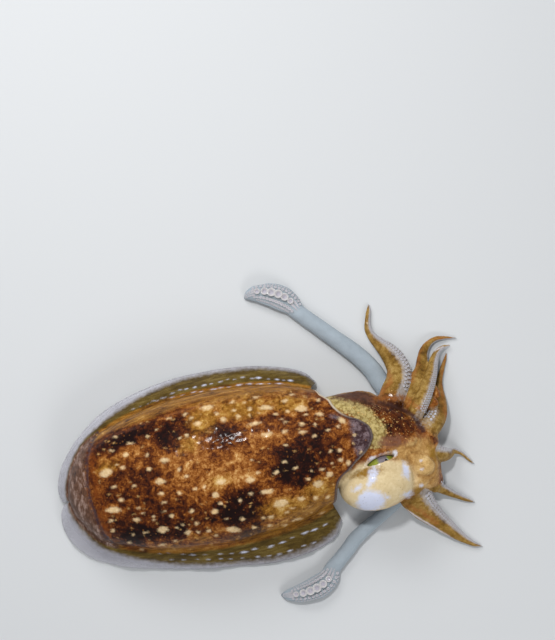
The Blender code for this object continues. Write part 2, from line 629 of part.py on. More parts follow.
def add_sucker(bm, foot, out, radius, sides, turn):
    """One cup: a short stalk that widens to a rim round a hollow. Its root is sunk in the surface at foot."""
    across = out.orthogonal().normalized()
    beside = out.cross(across)
    large = sides > SUCKER_SIDES
    levels = [(0.72, -0.55 * radius - 0.3), (1.0, 0.55 * radius)] + ([(0.62, 0.62 * radius)] if large else [])
    rows = [[bm.verts.new(foot + (across * cos(a) + beside * sin(a)) * radius * width + out * height)
             for a in (turn + 2 * pi * k / sides for k in range(sides))] for width, height in levels]
    for one, two in zip(rows, rows[1:]):
        for k in range(sides):
            bm.faces.new((one[k], one[(k + 1) % sides], two[(k + 1) % sides], two[k]))
    bm.faces.new(list(reversed(rows[0])))
    middle = bm.verts.new(foot + out * radius * (0.15 if large else 0.3))
    for k in range(sides):
        bm.faces.new((rows[-1][k], rows[-1][(k + 1) % sides], middle))


def add_suckers(owner, places):
    """Sets cups at places, (point outside, direction out, radius, sides), that are clear of all else."""
    own = surface_of(owner)
    near = [other for other in parts.objects if other != owner and boxes_meet(owner, other, 8.0)]
    others = [surface_of(other) for other in near]
    bm = bmesh.new()
    for k, (point, out, radius, sides) in enumerate(places):
        foot, normal, face, distance = own.ray_cast(point, -out)
        if foot is None or normal.dot(out) < 0.5:
            continue
        rim = foot + out * radius * 0.5
        room = radius + SUCKER_CLEARANCE
        if rim.z < room or any(tree.find_nearest(rim)[3] < room for tree in others):
            continue
        if any((rim - centre).length < room + size for centre, size in cups):
            continue
        cups.append((rim, radius))
        add_sucker(bm, foot, out, radius, sides, 0.7 * k)
    bmesh.ops.recalc_face_normals(bm, faces=bm.faces)
    boolean(owner, [mesh_object(owner.name + "_cups", bm)], "UNION")


def section_point(row, frame, angle):
    """A point well outside a tube's section at an angle in degrees, and the direction out of it there."""
    middle, along, right, up = frame
    c, s = cos(radians(angle)), sin(radians(angle))
    across, tall = row[3] / 2, row[4] / 2
    out = (right * (c / across) + up * (s / tall)).normalized()
    return middle + right * (c * across) + up * (s * tall) + out * 6, out


def arm(name):
    return tube(name, route(ARMS[name], step=ARM_STEP), ARM_SIDES, ARM_GOLD, tip=True)


def arm_suckers(owner):
    """Two rows of cups along the inner side of an arm, smaller and closer towards its tip."""
    samples = route(ARMS[owner.name], step=0.5)
    placed_frames = frames(samples)
    places = []
    for row_sign, start in ((1, 0.0), (-1, 0.5)):
        travelled, wanted = 0.0, start * 6
        for k in range(1, len(samples) - 4):
            travelled += (placed_frames[k][0] - placed_frames[k - 1][0]).length
            if travelled < wanted:
                continue
            width = SUCKER_SHARE * samples[k][3] + SUCKER_LEAST
            wanted = travelled + SUCKER_PITCH * width + SUCKER_PITCH_LEAST
            angle = SUCKER_SIDE[owner.name] + row_sign * SUCKER_ROW_SPREAD
            places.append((*section_point(samples[k], placed_frames[k], angle), width / 2, SUCKER_SIDES))
    add_suckers(owner, places)


def club_suckers(owner, side):
    """A middle row of greatly enlarged cups with smaller ones round it, out to the club's tip."""
    samples = route(CLUBS[side], step=0.5)
    placed_frames = frames(samples)
    places = []
    for offset, first, last, count, radius_first, radius_last in CLUB_ROWS:
        for n in range(count):
            share = n / (count - 1)
            k = round((first + (last - first) * share) * (len(samples) - 1))
            radius = radius_first + (radius_last - radius_first) * share
            middle_row = (offset, first, last, count, radius_first, radius_last) == CLUB_ROWS[0]
            if middle_row:
                radius *= 1 + (CLUB_SWELL - 1) * sin(pi * share)
            point, out = section_point(samples[k], placed_frames[k], CLUB_FACE[side] + offset)
            places.append((point, out, radius, CLUB_BIG_SIDES if middle_row else SUCKER_SIDES))
    add_suckers(owner, places)


def tentacle(side):
    """The two lengths of a stalk and its club."""
    rows = STALKS[side]
    middle = len(rows) // 2
    first = route(rows[:middle + 1], step=STALK_STEP, end=GAP)
    second = route(rows[middle:], step=STALK_STEP, end=GAP)
    made = [tube(f"tentacle_{side}_base", first, STALK_SIDES, TENTACLE_WHITE),
            tube(f"tentacle_{side}_stalk", second, STALK_SIDES, TENTACLE_WHITE)]
    club = route(CLUBS[side], step=CLUB_STEP)
    made.append(tube(f"club_{side}", club, STALK_SIDES, TENTACLE_WHITE, tip=True))
    return made


for old in list(bpy.data.objects):
    bpy.data.objects.remove(old)
parts = bpy.data.collections.new(OBJECT_NAME)
bpy.context.scene.collection.children.link(parts)

body = mantle()
skull = head()
jet = funnel()
eyes = {}
for side, values in EYES.items():
    eyes[side] = eye(f"eye_{side}", *values)
    lids(skull, side, values)
    boolean(skull, [grown(eyes[side])], "DIFFERENCE")
boolean(skull, [grown(jet)], "DIFFERENCE")
clear_of(body, skull, jet)

for name, root_points, edge_points, side in (("fin_left", FIN_LEFT_ROOT, FIN_LEFT_EDGE, 1),
                                             ("fin_right", FIN_RIGHT_ROOT, FIN_RIGHT_EDGE, -1)):
    blade = fin(name, root_points, edge_points, side)
    clear_of(blade, body, skull)

placed = []
for side in STALKS:
    base, stalk, club = tentacle(side)
    clear_of(base, skull)
    clear_of(stalk, base)
    clear_of(club, stalk)
    placed += [base, stalk, club]
lips = mouth()
clear_of(lips, skull, *placed)
placed.append(lips)
for name in ARMS:
    limb = arm(name)
    clear_of(limb, skull, *placed)
    placed.append(limb)
cups = []
for name in ARMS:
    arm_suckers(parts.objects[name])
for side in CLUBS:
    club_suckers(parts.objects[f"club_{side}"], side)
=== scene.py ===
"""A broadclub cuttlefish lying belly down, life-size: its skin, fins, suckers, eyes and their finish.

Sizes are in millimetres and become metres when a mesh is made. +X runs along the mantle towards the head,
+Y is the animal's left, +Z is up and z = 0 is the floor.
"""

from math import cos, pi, radians, sin

import bmesh
import bpy
import numpy as np
from mathutils import Matrix, Vector
from mathutils.bvhtree import BVHTree
from mathutils.kdtree import KDTree


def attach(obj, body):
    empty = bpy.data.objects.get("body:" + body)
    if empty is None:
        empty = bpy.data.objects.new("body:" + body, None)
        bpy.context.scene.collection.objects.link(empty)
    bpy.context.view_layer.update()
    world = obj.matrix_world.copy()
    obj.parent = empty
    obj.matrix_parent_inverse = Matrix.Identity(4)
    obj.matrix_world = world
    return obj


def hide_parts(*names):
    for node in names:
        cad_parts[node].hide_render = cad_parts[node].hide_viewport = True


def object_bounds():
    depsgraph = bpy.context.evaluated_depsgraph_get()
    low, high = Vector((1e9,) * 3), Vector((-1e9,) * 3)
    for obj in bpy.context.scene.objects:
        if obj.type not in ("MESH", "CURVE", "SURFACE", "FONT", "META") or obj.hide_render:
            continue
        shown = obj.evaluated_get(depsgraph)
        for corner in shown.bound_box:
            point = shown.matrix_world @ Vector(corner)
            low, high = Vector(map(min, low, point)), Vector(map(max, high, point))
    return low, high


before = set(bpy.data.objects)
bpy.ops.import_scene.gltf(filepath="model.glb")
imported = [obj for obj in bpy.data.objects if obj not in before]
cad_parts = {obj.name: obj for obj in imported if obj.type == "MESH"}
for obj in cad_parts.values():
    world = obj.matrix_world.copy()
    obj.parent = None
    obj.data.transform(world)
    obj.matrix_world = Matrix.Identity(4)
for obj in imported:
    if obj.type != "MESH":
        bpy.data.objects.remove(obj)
cad_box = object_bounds()

MM = 0.001                 # metres in a millimetre
FLOOR_GAP = 0.15           # the stage lies this far under the flats that the model rests on

# Mantle, as in the solids: x against half width, heights, and the front margin against the angle round it
MANTLE_REAR, MANTLE_TRUNK = -150.0, 100.0
MANTLE_HALF_WIDTH = [(-150, 0), (-148.5, 11), (-145, 21), (-139, 31), (-125, 48), (-100, 60), (-50, 73),
                     (0, 77), (50, 74), (90, 66), (110, 58), (118, 55), (160, 50)]
MANTLE_BACK = [(-150, 18), (-148.5, 25), (-145, 32), (-139, 39.5), (-130, 47), (-104, 60), (-70, 69),
               (-30, 74.5), (30, 76), (60, 75), (100, 71.5), (118, 69), (140, 66), (160, 62.5)]
MANTLE_FLANK = [(-150, 15), (-140, 17), (-120, 19), (-80, 21), (0, 22), (60, 22), (118, 23), (160, 30)]
MANTLE_BELLY = [(-150, 14), (-145, 8), (-135, 4), (-115, 1), (-90, -1), (-40, -2.5), (40, -2.5), (90, -1.5),
                (118, -0.6), (160, 4)]
MANTLE_MARGIN = [(0, 114), (24, 118), (37, 125), (49, 128), (59, 133), (66, 140), (71, 149), (76, 154.5),
                 (82, 158.5), (90, 160), (95, 157.5), (100, 154), (105, 149), (112, 140), (120, 131),
                 (128, 121), (141, 115.5), (180, 112), (225, 109), (270, 107), (315, 110), (360, 114)]
MARGIN_THICKNESS = 3.0
POCKET_CENTRE = (90.0, 0.0, 33.0)
MANTLE_SPACING = 1.3       # between the points of the skin over the back
MANTLE_COLUMNS = 232
MARGIN_ROWS = 34

# Fins, as in the solids
FIN_ROOTS = {
    "left": [(-149.5, -2.5), (-149.5, 5), (-146, 17), (-138, 32), (-124, 48.5), (-100, 60), (-70, 69),
             (-30, 75.5), (10, 76.8), (50, 74), (80, 68.5), (104, 60.5), (110, 58.5)],
    "right": [(-149.5, -3.6), (-149.3, -8), (-146, -17), (-138, -32), (-124, -48.5), (-100, -60),
              (-70, -69), (-35, -75), (0, -77), (40, -75.3), (74, -70), (98, -62.5), (108, -59)]}
FIN_EDGES = {
    "left": [(-156.5, -3), (-159.5, 8), (-156.5, 21), (-149, 36), (-132, 55), (-104, 75.5), (-73, 87.5),
             (-32, 95.5), (10, 97), (52, 93.5), (84, 86), (106, 76.5), (117, 64)],
    "right": [(-157, -6), (-161.5, -16), (-160.5, -34), (-151, -51), (-135, -66), (-106, -79.5),
              (-74, -88), (-38, -95.5), (0, -100.5), (42, -105), (80, -101.5), (104, -92.5),
              (114.5, -77)]}
FIN_SIDES = {"left": 1, "right": -1}
FIN_ROOT_THICKNESS, FIN_EDGE_THICKNESS = 5.0, 1.1
FIN_EDGE_HEIGHT = 4.6
FIN_ROWS, FIN_LANES = 250, 22
CLEAR_EDGE = [(-162, 12), (-135, 10.5), (-110, 8.5), (-80, 6), (-50, 3.6), (0, 1.8), (60, 1.4), (117, 2)]

# Head, as in the solids: x, left, right, top and underside of its core, then the masses on it
HEAD_CORE = [(92, 30, -34, 55, 16), (98, 38, -38, 62, 9), (108, 43.5, -41, 64.6, 5),
             (118, 46.5, -43, 65, 1.5), (132, 47.5, -45, 63, -1.5), (146, 46.5, -46, 60.8, -2.5),
             (160, 42.5, -47, 58.6, -2.5), (174, 35.5, -50, 56, -2.5), (188, 26, -56, 52, -1.5),
             (200, 17.5, -62, 47.5, 1), (210, 4, -64, 42, 4), (217, -10, -61, 36, 8),
             (222, -24, -50, 29, 14)]
HEAD_MASSES = [((155, -48, 38), (38.5, 26.5, 26), 1), ((149, 20, 28), (33, 27.5, 24), -4),
               ((203, -40, 31), (17, 16, 16), 0), ((196, -13, 41.5), (11, 10, 9), 0),
               ((205, -26, 24), (19, 37, 20), -12), ((189, -51, 30), (14, 17, 17), 0)]
HEAD_VOXEL, HEAD_SMOOTHING = 1.6, 20
SKIN_VOXEL = 1.01          # of the skin over head and arms, which keeps it under 200,000 triangles
EYES = {
    "left": ((150, 25, 28), 19.5, (0.06, 0.97, -0.2), 16.0, 9.0, 0.0),
    "right": ((161.5, -34.0, 36.7), 19.5, (0.05, 0.43, 0.9), 15.6, 3.3, 12.0),
}
LID_THICKNESS = 2.1        # of the flesh over the eyeballs, so that no pupil shows through it
LID_RADIUS = {"left": 1.2, "right": 0.8}
LID_PALENESS = {"left": 1.0, "right": 0.30}
SOCKET_GAP, LID_GAP = 0.5, 0.3         # between an eyeball and its socket, and between it and the lids
# each eye's pupil: its places along and across the opening, how much smaller it is, and the iris's veil
PUPILS = {"left": (-2.0, 0.0, 1.0, 0.0), "right": (5.3, -2.0, 4.4, 1.0)}
PUPIL_RADIUS, PUPIL_RISE = 8.5, 5.1    # of the pupil's round lower edge, and of its middle over the eye's

# Arms, as in the solids: x, y, z of the middle, width seen from above and height, from root to tip
ARMS = {
    "arm_left_4": [(200, 0, 12, 15, 13), (212, 18, 8, 13, 11), (222, 35, 5.2, 11, 9.5), (229, 47, 4, 8, 7.5),
                   (234, 57, 2.8, 5, 5.2), (236, 63, 1.8, 2, 2)],
    "arm_right_4": [(182, -44, 27, 30, 20), (190, -66, 20, 33, 17), (198, -82, 12, 27, 14),
                    (208, -95, 7.4, 20, 12), (219, -108, 5.4, 15, 10), (230, -119.5, 3.8, 9, 7.2),
                    (240, -128, 2.6, 5, 5), (248, -132, 1.2, 1.4, 1.6)],
    "arm_left_3": [(176, 12, 27, 24, 18), (189.5, 36.5, 26, 26, 20), (198.5, 50, 18.5, 25, 19),
                   (201, 60, 12, 24, 18), (199, 70, 8.6, 22, 17), (194, 80, 7, 18, 14),
                   (187, 90, 5.2, 12.5, 10.5), (182, 98, 4.2, 8.8, 8.4), (179.5, 106, 3.6, 7.2, 7.2),
                   (181, 115, 3, 6, 6), (184, 124, 2.3, 4.6, 4.8), (185.5, 131, 1.2, 1.4, 1.6)],
    "arm_left_2": [(192, 4, 24, 20, 17), (211, 30, 21, 20, 17), (219, 45, 13.5, 19, 15),
                   (224, 55, 9, 14.5, 12.5), (227, 64, 6, 12, 10), (230, 72, 4.6, 9.6, 8.6),
                   (236, 79, 3.6, 7, 7), (244, 82.5, 2.8, 5, 5.4), (254, 82, 2.1, 3.6, 4),
                   (266, 79, 1.2, 1.4, 1.6)],
    "arm_right_1": [(198, -18, 27, 22, 18), (218, -2, 26, 25, 19), (229, 8, 19.5, 21, 17),
                    (235, 20, 12.5, 14, 13), (237, 32, 8, 9.4, 9.2), (240, 42, 4.6, 6.6, 7),
                    (245, 52, 3, 5, 5.2), (250, 61, 2, 3.4, 3.8), (253, 67, 1.2, 1.4, 1.6)],
    "arm_left_1": [(190, -6, 33, 16, 14), (213, 20, 34, 16, 14.5), (225, 37, 26.5, 14, 13.5),
                   (233, 51, 18, 11, 11), (238, 62, 11, 8.6, 9), (243, 69, 6.6, 6, 6.4),
                   (249, 72.5, 4.2, 4.4, 4.8), (258, 73.5, 3, 1.4, 1.6)],
    "arm_right_2": [(200, -28, 27, 19, 17), (217, -30, 27, 18, 17), (227, -33, 20.5, 15, 14),
                    (233, -33.5, 13, 10.5, 10), (238.5, -32, 7.6, 6.4, 6.6), (245.5, -35.5, 4, 4.2, 4.8),
                    (252, -43, 2.4, 3.2, 3.6), (257, -49, 1.2, 1.3, 1.6)],
    "arm_right_3": [(198, -50, 26, 20, 17), (211, -60, 17, 15, 13.5), (221, -68, 9, 9.6, 9.4),
                    (231, -75.5, 5, 6.6, 7), (241, -82, 3, 4.6, 5), (250, -87, 1.2, 1.4, 1.6)],
}
SUCKER_SIDE = {"arm_left_4": 42, "arm_right_4": 150, "arm_left_3": 32, "arm_left_2": -6, "arm_right_1": 128,
               "arm_left_1": 46, "arm_right_2": 150, "arm_right_3": 150}
# degrees that the sucker side turns under towards the tip, and how pale it is, as a share of the others'
SUCKER_TWIST = {"arm_right_1": 66}
ORAL_SHARE = {"arm_right_1": 0.48, "arm_left_1": 0.62}
KEEL, BROAD_KEEL = 0.03, {"arm_right_4": 0.10}      # how far the keel behind an arm stands out, as a share
# webs between the arms' bases: centre, half sizes and turn
ARM_WEBS = [((206, 40, 15), (9, 11, 8), 0), ((218, 20, 17), (12, 17, 9), 10), ((226, 6, 15), (9, 14, 8), 0),
            ((212, -54, 17), (10, 15, 9), 0), ((225, 20, 24), (7, 9, 5.5), 30),
            ((231, 31, 17), (5, 10, 6), 12), ((217, 34, 19), (7, 10, 7), 20)]
SUCKER_START = 0.26        # share of an arm from its root that is free of suckers

# Tentacles, as in the solids: each stalk, then its club
STALKS = {
    "left": [(198, 16, 12, 18, 14), (189, 34, 8.4, 19, 14), (181, 50, 6.6, 19, 13.5),
             (175, 65, 6.2, 19, 13.2), (166, 79, 6.1, 18.5, 13), (155, 92, 6, 18, 12.8),
             (143, 105, 6, 17, 12.6), (131, 118, 5.9, 16.5, 12.4), (119, 131, 5.8, 16, 12),
             (113, 138, 5.6, 16.5, 11.6)],
    "right": [(200, -36, 10, 14, 12), (187, -55, 7.2, 13.5, 12), (172, -70, 5.8, 13, 11.6),
              (160, -77.5, 5.6, 12.6, 11.4), (148, -84, 5.5, 13.2, 11.2), (136, -90.5, 5.5, 14, 11.2),
              (124, -98, 5.5, 14.5, 11.2), (113, -108, 5.4, 14.6, 11), (102, -117, 5.3, 15, 10.8),
              (96, -122, 5.2, 16, 10.4)],
}
CLUBS = {
    "left": [(113, 138, 5.6, 16.5, 11.6), (108, 146, 5.4, 21, 11), (99, 154.5, 5.3, 24.5, 11),
             (87, 161, 5.2, 22, 10.6), (76, 164, 4.8, 17, 9.6), (68, 163.5, 3.8, 10, 7.6),
             (65, 162.5, 2.6, 5, 5)],
    "right": [(96, -122, 5.2, 16, 10.4), (90, -130.5, 5.2, 20, 10.6), (78, -137, 5.2, 23, 10.8),
              (64, -140, 5, 20, 10.2), (52, -140, 4.4, 14.5, 9), (44, -139.2, 3.4, 9, 6.8),
              (41, -138.8, 2.4, 4.6, 4.6)],
}
CLUB_FACE = {"left": 82, "right": 96}

FUNNEL = [(97, -14, 15, 34, 20), (108, -18, 12.5, 31, 20), (122, -23.5, 10.2, 27, 18),
          (138, -30, 8.6, 22, 16), (152, -36, 7.4, 17, 14), (163, -41, 7, 14, 13)]
FUNNEL_WALL = 2.6
MOUTH_CENTRE, MOUTH_RADIUS = (216, -20, 17), 9

# Marks of the back, seen from above: x, y, length, width and turn in degrees of each oval
DARK_PATCHES = [(-38, 38, 27, 29, 0), (-21, 47, 26, 22, -20), (16, 34, 32, 18, -10), (84, -13, 54, 46, 0),
                (106, 0, 40, 26, -20), (20, -46, 50, 36, 0), (22, -70, 28, 15, 0), (-72, -50, 76, 20, -6),
                (-82, 47, 66, 13, 10)]
SHADE_PATCHES = [(-2, -52, 36, 26, 0), (-96, -38, 34, 40, 0), (-84, 46, 70, 19, 10), (-86, -6, 64, 44, 0),
                 (-62, 5, 34, 30, 0), (78, 33, 50, 11, 0), (12, 20, 38, 9, 8), (-52, -30, 60, 30, 0),
                 (112, 22, 34, 24, -10), (60, -6, 34, 34, 0), (-90, 14, 40, 24, 0), (30, -30, 44, 14, 0),
                 (-34, -42, 40, 34, 0), (-114, 0, 14, 90, 0)]
BLACK_CORES = [(-39, 38, 21, 24, 0), (82, -15, 34, 30, 0), (20, -46, 32, 20, 0), (14, 34, 18, 9, 0),
               (-76, -51, 46, 12, -4), (-78, 48, 30, 8, 10)]
TAN_PATCHES = [(8, -8, 84, 34, 0), (-22, 10, 50, 26, 8), (52, 18, 40, 18, 0), (-72, 29, 44, 16, 6)]
YELLOW_PATCHES = [(-2, 48, 34, 28, -10), (38, 52, 60, 22, -4), (84, 48, 40, 18, -10), (-20, 28, 24, 16, 30),
                  (60, -52, 60, 24, 4), (96, -42, 40, 22, 8), (4, -13, 20, 12, 0), (-104, 22, 24, 16, 0),
                  (-24, -66, 22, 8, 0)]
GOLD_PATCHES = [(88, -62, 66, 34, 0), (40, -74, 70, 16, 0), (-60, -78, 100, 20, -10), (50, 66, 120, 12, -4)]
PALE_BARS = [(-106, 17, 15, 8, 8), (-106, -20, 16, 7, -10), (-62, -49, 12, 7, -8), (-54, -2, 11, 6, -8),
             (-46, 17, 10, 6, -10), (-7, 46, 8, 6, 0), (5, 60, 15, 6, -4), (62, 48, 14, 6, -14),
             (48, 35, 13, 4, 0), (4, -14, 11, 7, 0), (32, -18, 9, 6, 0), (-8, -42, 8, 5.5, -16),
             (46, -33, 13, 6, 0), (57, -47, 16, 9, 8), (78, -47, 8, 6, 0), (97, -36, 11, 8, 0),
             (110, -29, 7, 6, 0), (132, 20, 6, 10, 35), (96, 40, 13, 7, -8), (58, 22, 12, 5, 0),
             (6, -63, 15, 7, -16), (92, 17, 8, 4, 0), (112, 31, 8, 4, -12), (18, 45, 7, 6, 0),
             (-83, 30, 6, 5.5, 0), (-85, -34, 7, 4, -12), (-38, -56, 7, 6, -10), (-56, -14, 6, 4, 0)]
PALE_SPOTS = [(-93, 23, 3, 2), (-88, 19, 6, 3), (-76, 41, 6, 2.4), (-96, 38, 5, 2), (-90, 50, 4, 1.8),
              (-63, 12, 5, 4), (-62, 26, 4, 3), (-58, 44, 3.4, 2.4), (-48, 49, 3.4, 2.4), (-34, 6, 3.6, 4),
              (-100, 2, 5, 3.2), (-80, -1, 3.4, 2.4), (-28, -2, 5, 3), (-34, 57, 5, 2.6), (-18, 58, 4.4, 3),
              (-12, 53, 4, 3), (-20, 37, 4, 4), (-27, 36, 2, 2), (-96, -12, 5, 3), (-110, -30, 4.4, 2.6),
              (-111, -40, 4.4, 3), (-92, -48, 3.4, 2.4), (-79, -48, 4.4, 3), (-98, -55, 3.4, 2),
              (-68, -34, 3.4, 2.4), (-68, -38, 3.4, 1.8), (-50, -37, 4.4, 4.4), (-55, -23, 5, 2.2),
              (-38, -17, 5, 3), (-30, -37, 4.6, 5), (-28, -49, 4.4, 3), (-41, -48, 3.4, 2.4),
              (-48, -50, 3.4, 2.6), (-57, -31, 3.4, 2), (-78, -29, 4.4, 2.2), (-81, -23, 3, 2.2),
              (-22, -16, 4, 3), (-13, -16, 3.4, 3), (-4, -26, 6, 5), (-1, -35, 4, 3.4), (-28, -58, 3.6, 2.2),
              (-18, -59, 4.4, 3), (-12, -65, 3.4, 2), (-66, -64, 6, 2.2), (-52, -62, 3.6, 1.8),
              (-88, -65, 3.6, 1.8), (13, 52, 4, 3.2), (30, 60, 5, 2), (42, 57, 3, 2), (54, 60, 6, 2.2),
              (33, 45, 4, 3.4), (46, 50, 4.4, 4), (45, 44, 2.2, 2), (54, 44, 3, 2), (82, 51, 5, 3),
              (90, 56, 4.4, 2), (30, 52, 4, 3), (70, 40, 4.4, 2.6), (82, 40, 4.4, 2.8), (99, 33, 4.4, 2.2),
              (75, 34, 3.4, 1.8), (78, 30, 4, 2), (75, 21, 5.4, 3), (93, 25, 6, 3.4), (106, 22, 3, 3),
              (103, 11, 4.6, 3.4), (117, 14, 4.6, 2.2), (128, 15, 3, 2.6), (73, 8, 4.4, 2.6),
              (69, -8, 4, 2.6), (59, -16, 5, 4), (41, -13, 4, 3), (78, -16, 4.4, 2.4), (38, 0, 4, 2),
              (115, -7, 3.6, 3.2), (124, -8, 5, 2.6), (124, -17, 4.4, 3.4), (142, 4, 3, 2.6),
              (145, -14, 3, 2.2), (139, -4, 2.2, 3), (114, 45, 4, 3), (19, -36, 3, 3.6), (30, -32, 4, 2.2),
              (88, -29, 4.4, 3), (104, -22, 5, 2.2), (93, -22, 3, 2.6), (130, -22, 5, 4), (114, -19, 3, 2),
              (45, -58, 6, 3.4), (37, -58, 3.2, 2.2), (17, -54, 5, 3.4), (27, -65, 4.4, 3), (61, -57, 4, 2),
              (67, -54, 4.4, 2.2), (42, -66, 4.4, 2.2), (57, -70, 4.4, 1.8), (96, -66, 6, 2),
              (70, -67, 8, 2), (2, -51, 3, 2), (92, -49, 5, 4), (104, -51, 4.4, 3)]
SPOT_SEED, SPOT_COUNT = 11, 150
SPOT_RANGES = [(-118, 130), (-78, 66), (1.4, 3.2), (1.0, 2.0)]     # x, y, length and width of the small spots
REAR_CREASE = [(-108, 58), (-115, 50), (-121, 38), (-125, 22), (-127, 0), (-125, -22), (-121, -42),
               (-111, -57)]
CREST_RIDGE = [(-40, 10), (-28, 16), (-18, 20), (-5, 18.5), (8, 18), (20, 20), (30, 20), (46, 22)]
CREST_STREAK = [(-2, 24), (14, 27), (30, 30), (44, 31)]
SHIELD_LEFT = [(-112, 46), (-100, 52), (-50, 59), (0, 65.5), (50, 68), (80, 63), (100, 56), (122, 47)]
SHIELD_RIGHT = [(-110, -50), (-98, -60), (-50, -72), (0, -76), (36, -75), (70, -66), (100, -50), (116, -34)]
# rows of bright dashes along each fin's root: points that the row runs through, spacing, length, width
DASH_ROWS = [([(-72, 74), (-46, 77), (-20, 83), (30, 84), (60, 80), (100, 68)], 8.2, 4.6, 1.7),
             ([(-50, 79), (0, 78), (52, 75), (96, 65)], 9.6, 5.2, 1.3),
             ([(-80, -70), (-20, -84), (24, -88), (64, -84), (106, -76)], 12.5, 7.0, 2.0),
             ([(-66, -80), (0, -93), (44, -97.5), (88, -92)], 12.0, 5.0, 1.7)]

# Areas of the head seen from above: the ovals of each mask, and the softness of their edge
HEAD_AREAS = {
    "bark": ([(172, 28, 66, 40, -20), (186, 6, 48, 30, 0), (150, 40, 56, 16, -6)], 5),
    "face": ([(198, -42, 46, 60, 0), (186, -22, 28, 16, 0), (206, -20, 20, 22, 0)], 4),
    "mauve": ([(177, -10, 30, 13, -6)], 3),
    "salmon": ([(164, -20, 14, 5, 0), (197, -13.5, 11, 9, 0)], 2),
    "bulge": ([(153, -50, 84, 50, 2)], 4),
    "golden": ([(146, -35, 30, 8, 0), (195, -65, 14, 12, 0), (219, -31, 18, 9, -52)], 3),
    "blotch": ([(150, -40, 7, 20, -32), (145, -63, 28, 20, 0), (134, -48, 8, 4, 0), (182, -65, 9, 6, 0),
                (160, -63, 4, 4, 0), (185, -42, 8, 13, 0)], 3),
    "knob": ([(205, -39, 21, 23, 0), (200, -58, 11, 13, 0)], 2.5),
    # partly painted highlights: two glints on the cheek knob and a glint streak on the right eye's upper lid
    # the pale flakes are partly the skin's own lilac spots and pale lid corner,
    "flake": ([(197, -58, 4, 3, 0), (203, -66, 4, 3, 0), (202, -34, 3, 2, 0), (202, -43, 3, 2, 0),
               (178, -22, 5, 6, 0), (154, -22.5, 6, 4, 0)], 1.5),
    "russet": ([(231, -32, 12, 9, 0), (208, -9, 12, 12, 0), (220, -56, 6, 20, 0), (147, -23.5, 6, 4, 0)], 3),
}
# areas of the head's left side, as ovals of x and height
SIDE_AREAS = {
    "cheek": ([(158, 20, 78, 34, 0), (190, 20, 40, 26, 0)], 5),
    "shadow": ([(150, 43, 48, 17, 2)], 4),
    "patch": ([(176, 17, 16, 16, 20), (185, 26, 12, 9, 0), (170, 7, 26, 8, 0), (192, 14, 9, 9, 0)], 2.5),
    "neckband": ([(125, 18, 13, 42, 6)], 3),
}
# knobs of the head: centre, half length and width, and height
HEAD_KNOBS = [(205, -39, 10, 11, 1.9), (196.5, -13.5, 5.5, 4.5, 1.3), (200, -58, 6.5, 8, 1.2),
              (184, -19, 7, 4, 0.7)]
COLLAR_LINE = [(125, 42), (136, 36), (147, 30), (155, 22), (160, 12), (165, 5), (162, -5)]
HOOD_LINE = [(172, 33), (182, 27), (192, 22), (200, 15), (207, 5), (211, -5)]
# folds pressed into the head: points of each, depth and width, where a negative depth stands up
# the finish also darkens the skin in the pressed folds, a painted shade
HEAD_FOLDS = [(HOOD_LINE, 1.2, 2.6), ([(168, 37), (180, 32), (196, 27), (208, 14), (216, 0)], -0.7, 2.0),
              ([(195, -25), (207, -28), (214, -35), (216, -42), (212, -49), (203, -51), (196, -48)],
               1.3, 1.5),
              ([(190, -28), (192, -40), (192, -50), (188, -68)], 1.3, 1.8),
              ([(190, -8), (198, -8), (203, -13), (198, -19), (190, -19)], 0.9, 1.4),
              ([(146, -18), (158, -15), (172, -13), (186, -17)], 0.7, 1.4),
              ([(180, -25), (184, -27), (188, -29)], -0.7, 1.2),
              ([(196, -66), (206, -58), (210, -54)], 0.8, 1.3)]
RUST_LINES = [[(172, 36), (182, 44), (190, 50), (189, 60)], [(170, 35), (200, 30), (210, 18), (225, 15)],
              [(210, 45), (221, 65), (228, 78), (240, 84), (262, 80)],
              [(238, 0), (238, 20), (245, 50), (253, 67)], [(180, -76), (194, -86), (207, -100)]]
PALE_LINES = [[(173, -74), (186, -87), (200, -100), (230, -127), (245, -132)],
              [(208, 77), (202, 86), (195, 92)], [(233, 67), (241, 71), (250, 73)],
              [(186, 66), (183, 78), (176, 92)]]
ARM_DARKS = [(199, 74, 9, 12, 0), (214, -95, 8, 15, 40), (228, 72, 8, 9, 0), (231, 18, 8, 20, 10),
             (222, 60, 7, 12, 20)]

# Colours as the eye reads them on a screen, red, green and blue from 0 to 255
PALETTE = {
    "cream": (210, 174, 120), "shell": (228, 212, 184), "orange": (122, 62, 18), "slate": (58, 44, 50),
    "clear": (190, 188, 198), "lilac": (206, 210, 230), "belly": (190, 176, 166), "russet": (112, 56, 28),
    "ivory": (196, 176, 118), "bark": (58, 32, 12), "fleck": (176, 112, 52), "mauve": (118, 80, 62),
    "peach": (198, 154, 94), "blossom": (176, 170, 168), "pearl": (206, 202, 208), "milk": (194, 191, 191),
    "steel": (154, 164, 172), "disc": (176, 172, 182), "pupil": (6, 6, 8), "rim": (220, 218, 222),
    # the dark colour for the head's edge over the arms is a painted shadow, in the crease where the head
    # overhangs their roots
    "moss": (170, 180, 62), "smoke": (128, 120, 126), "hood": (70, 46, 40), "olive": (116, 118, 50),
    # the mouth's membrane colour is its flesh-pink mauve darkened as painted shade, for the shade between the
    # arms' roots
    "ring": (206, 220, 222), "mustard": (140, 104, 40), "rust": (150, 92, 46), "membrane": (120, 88, 84),
    "khaki": (142, 122, 70), "umber": (82, 52, 38), "silver": (180, 184, 186), "film": (196, 182, 160),
}
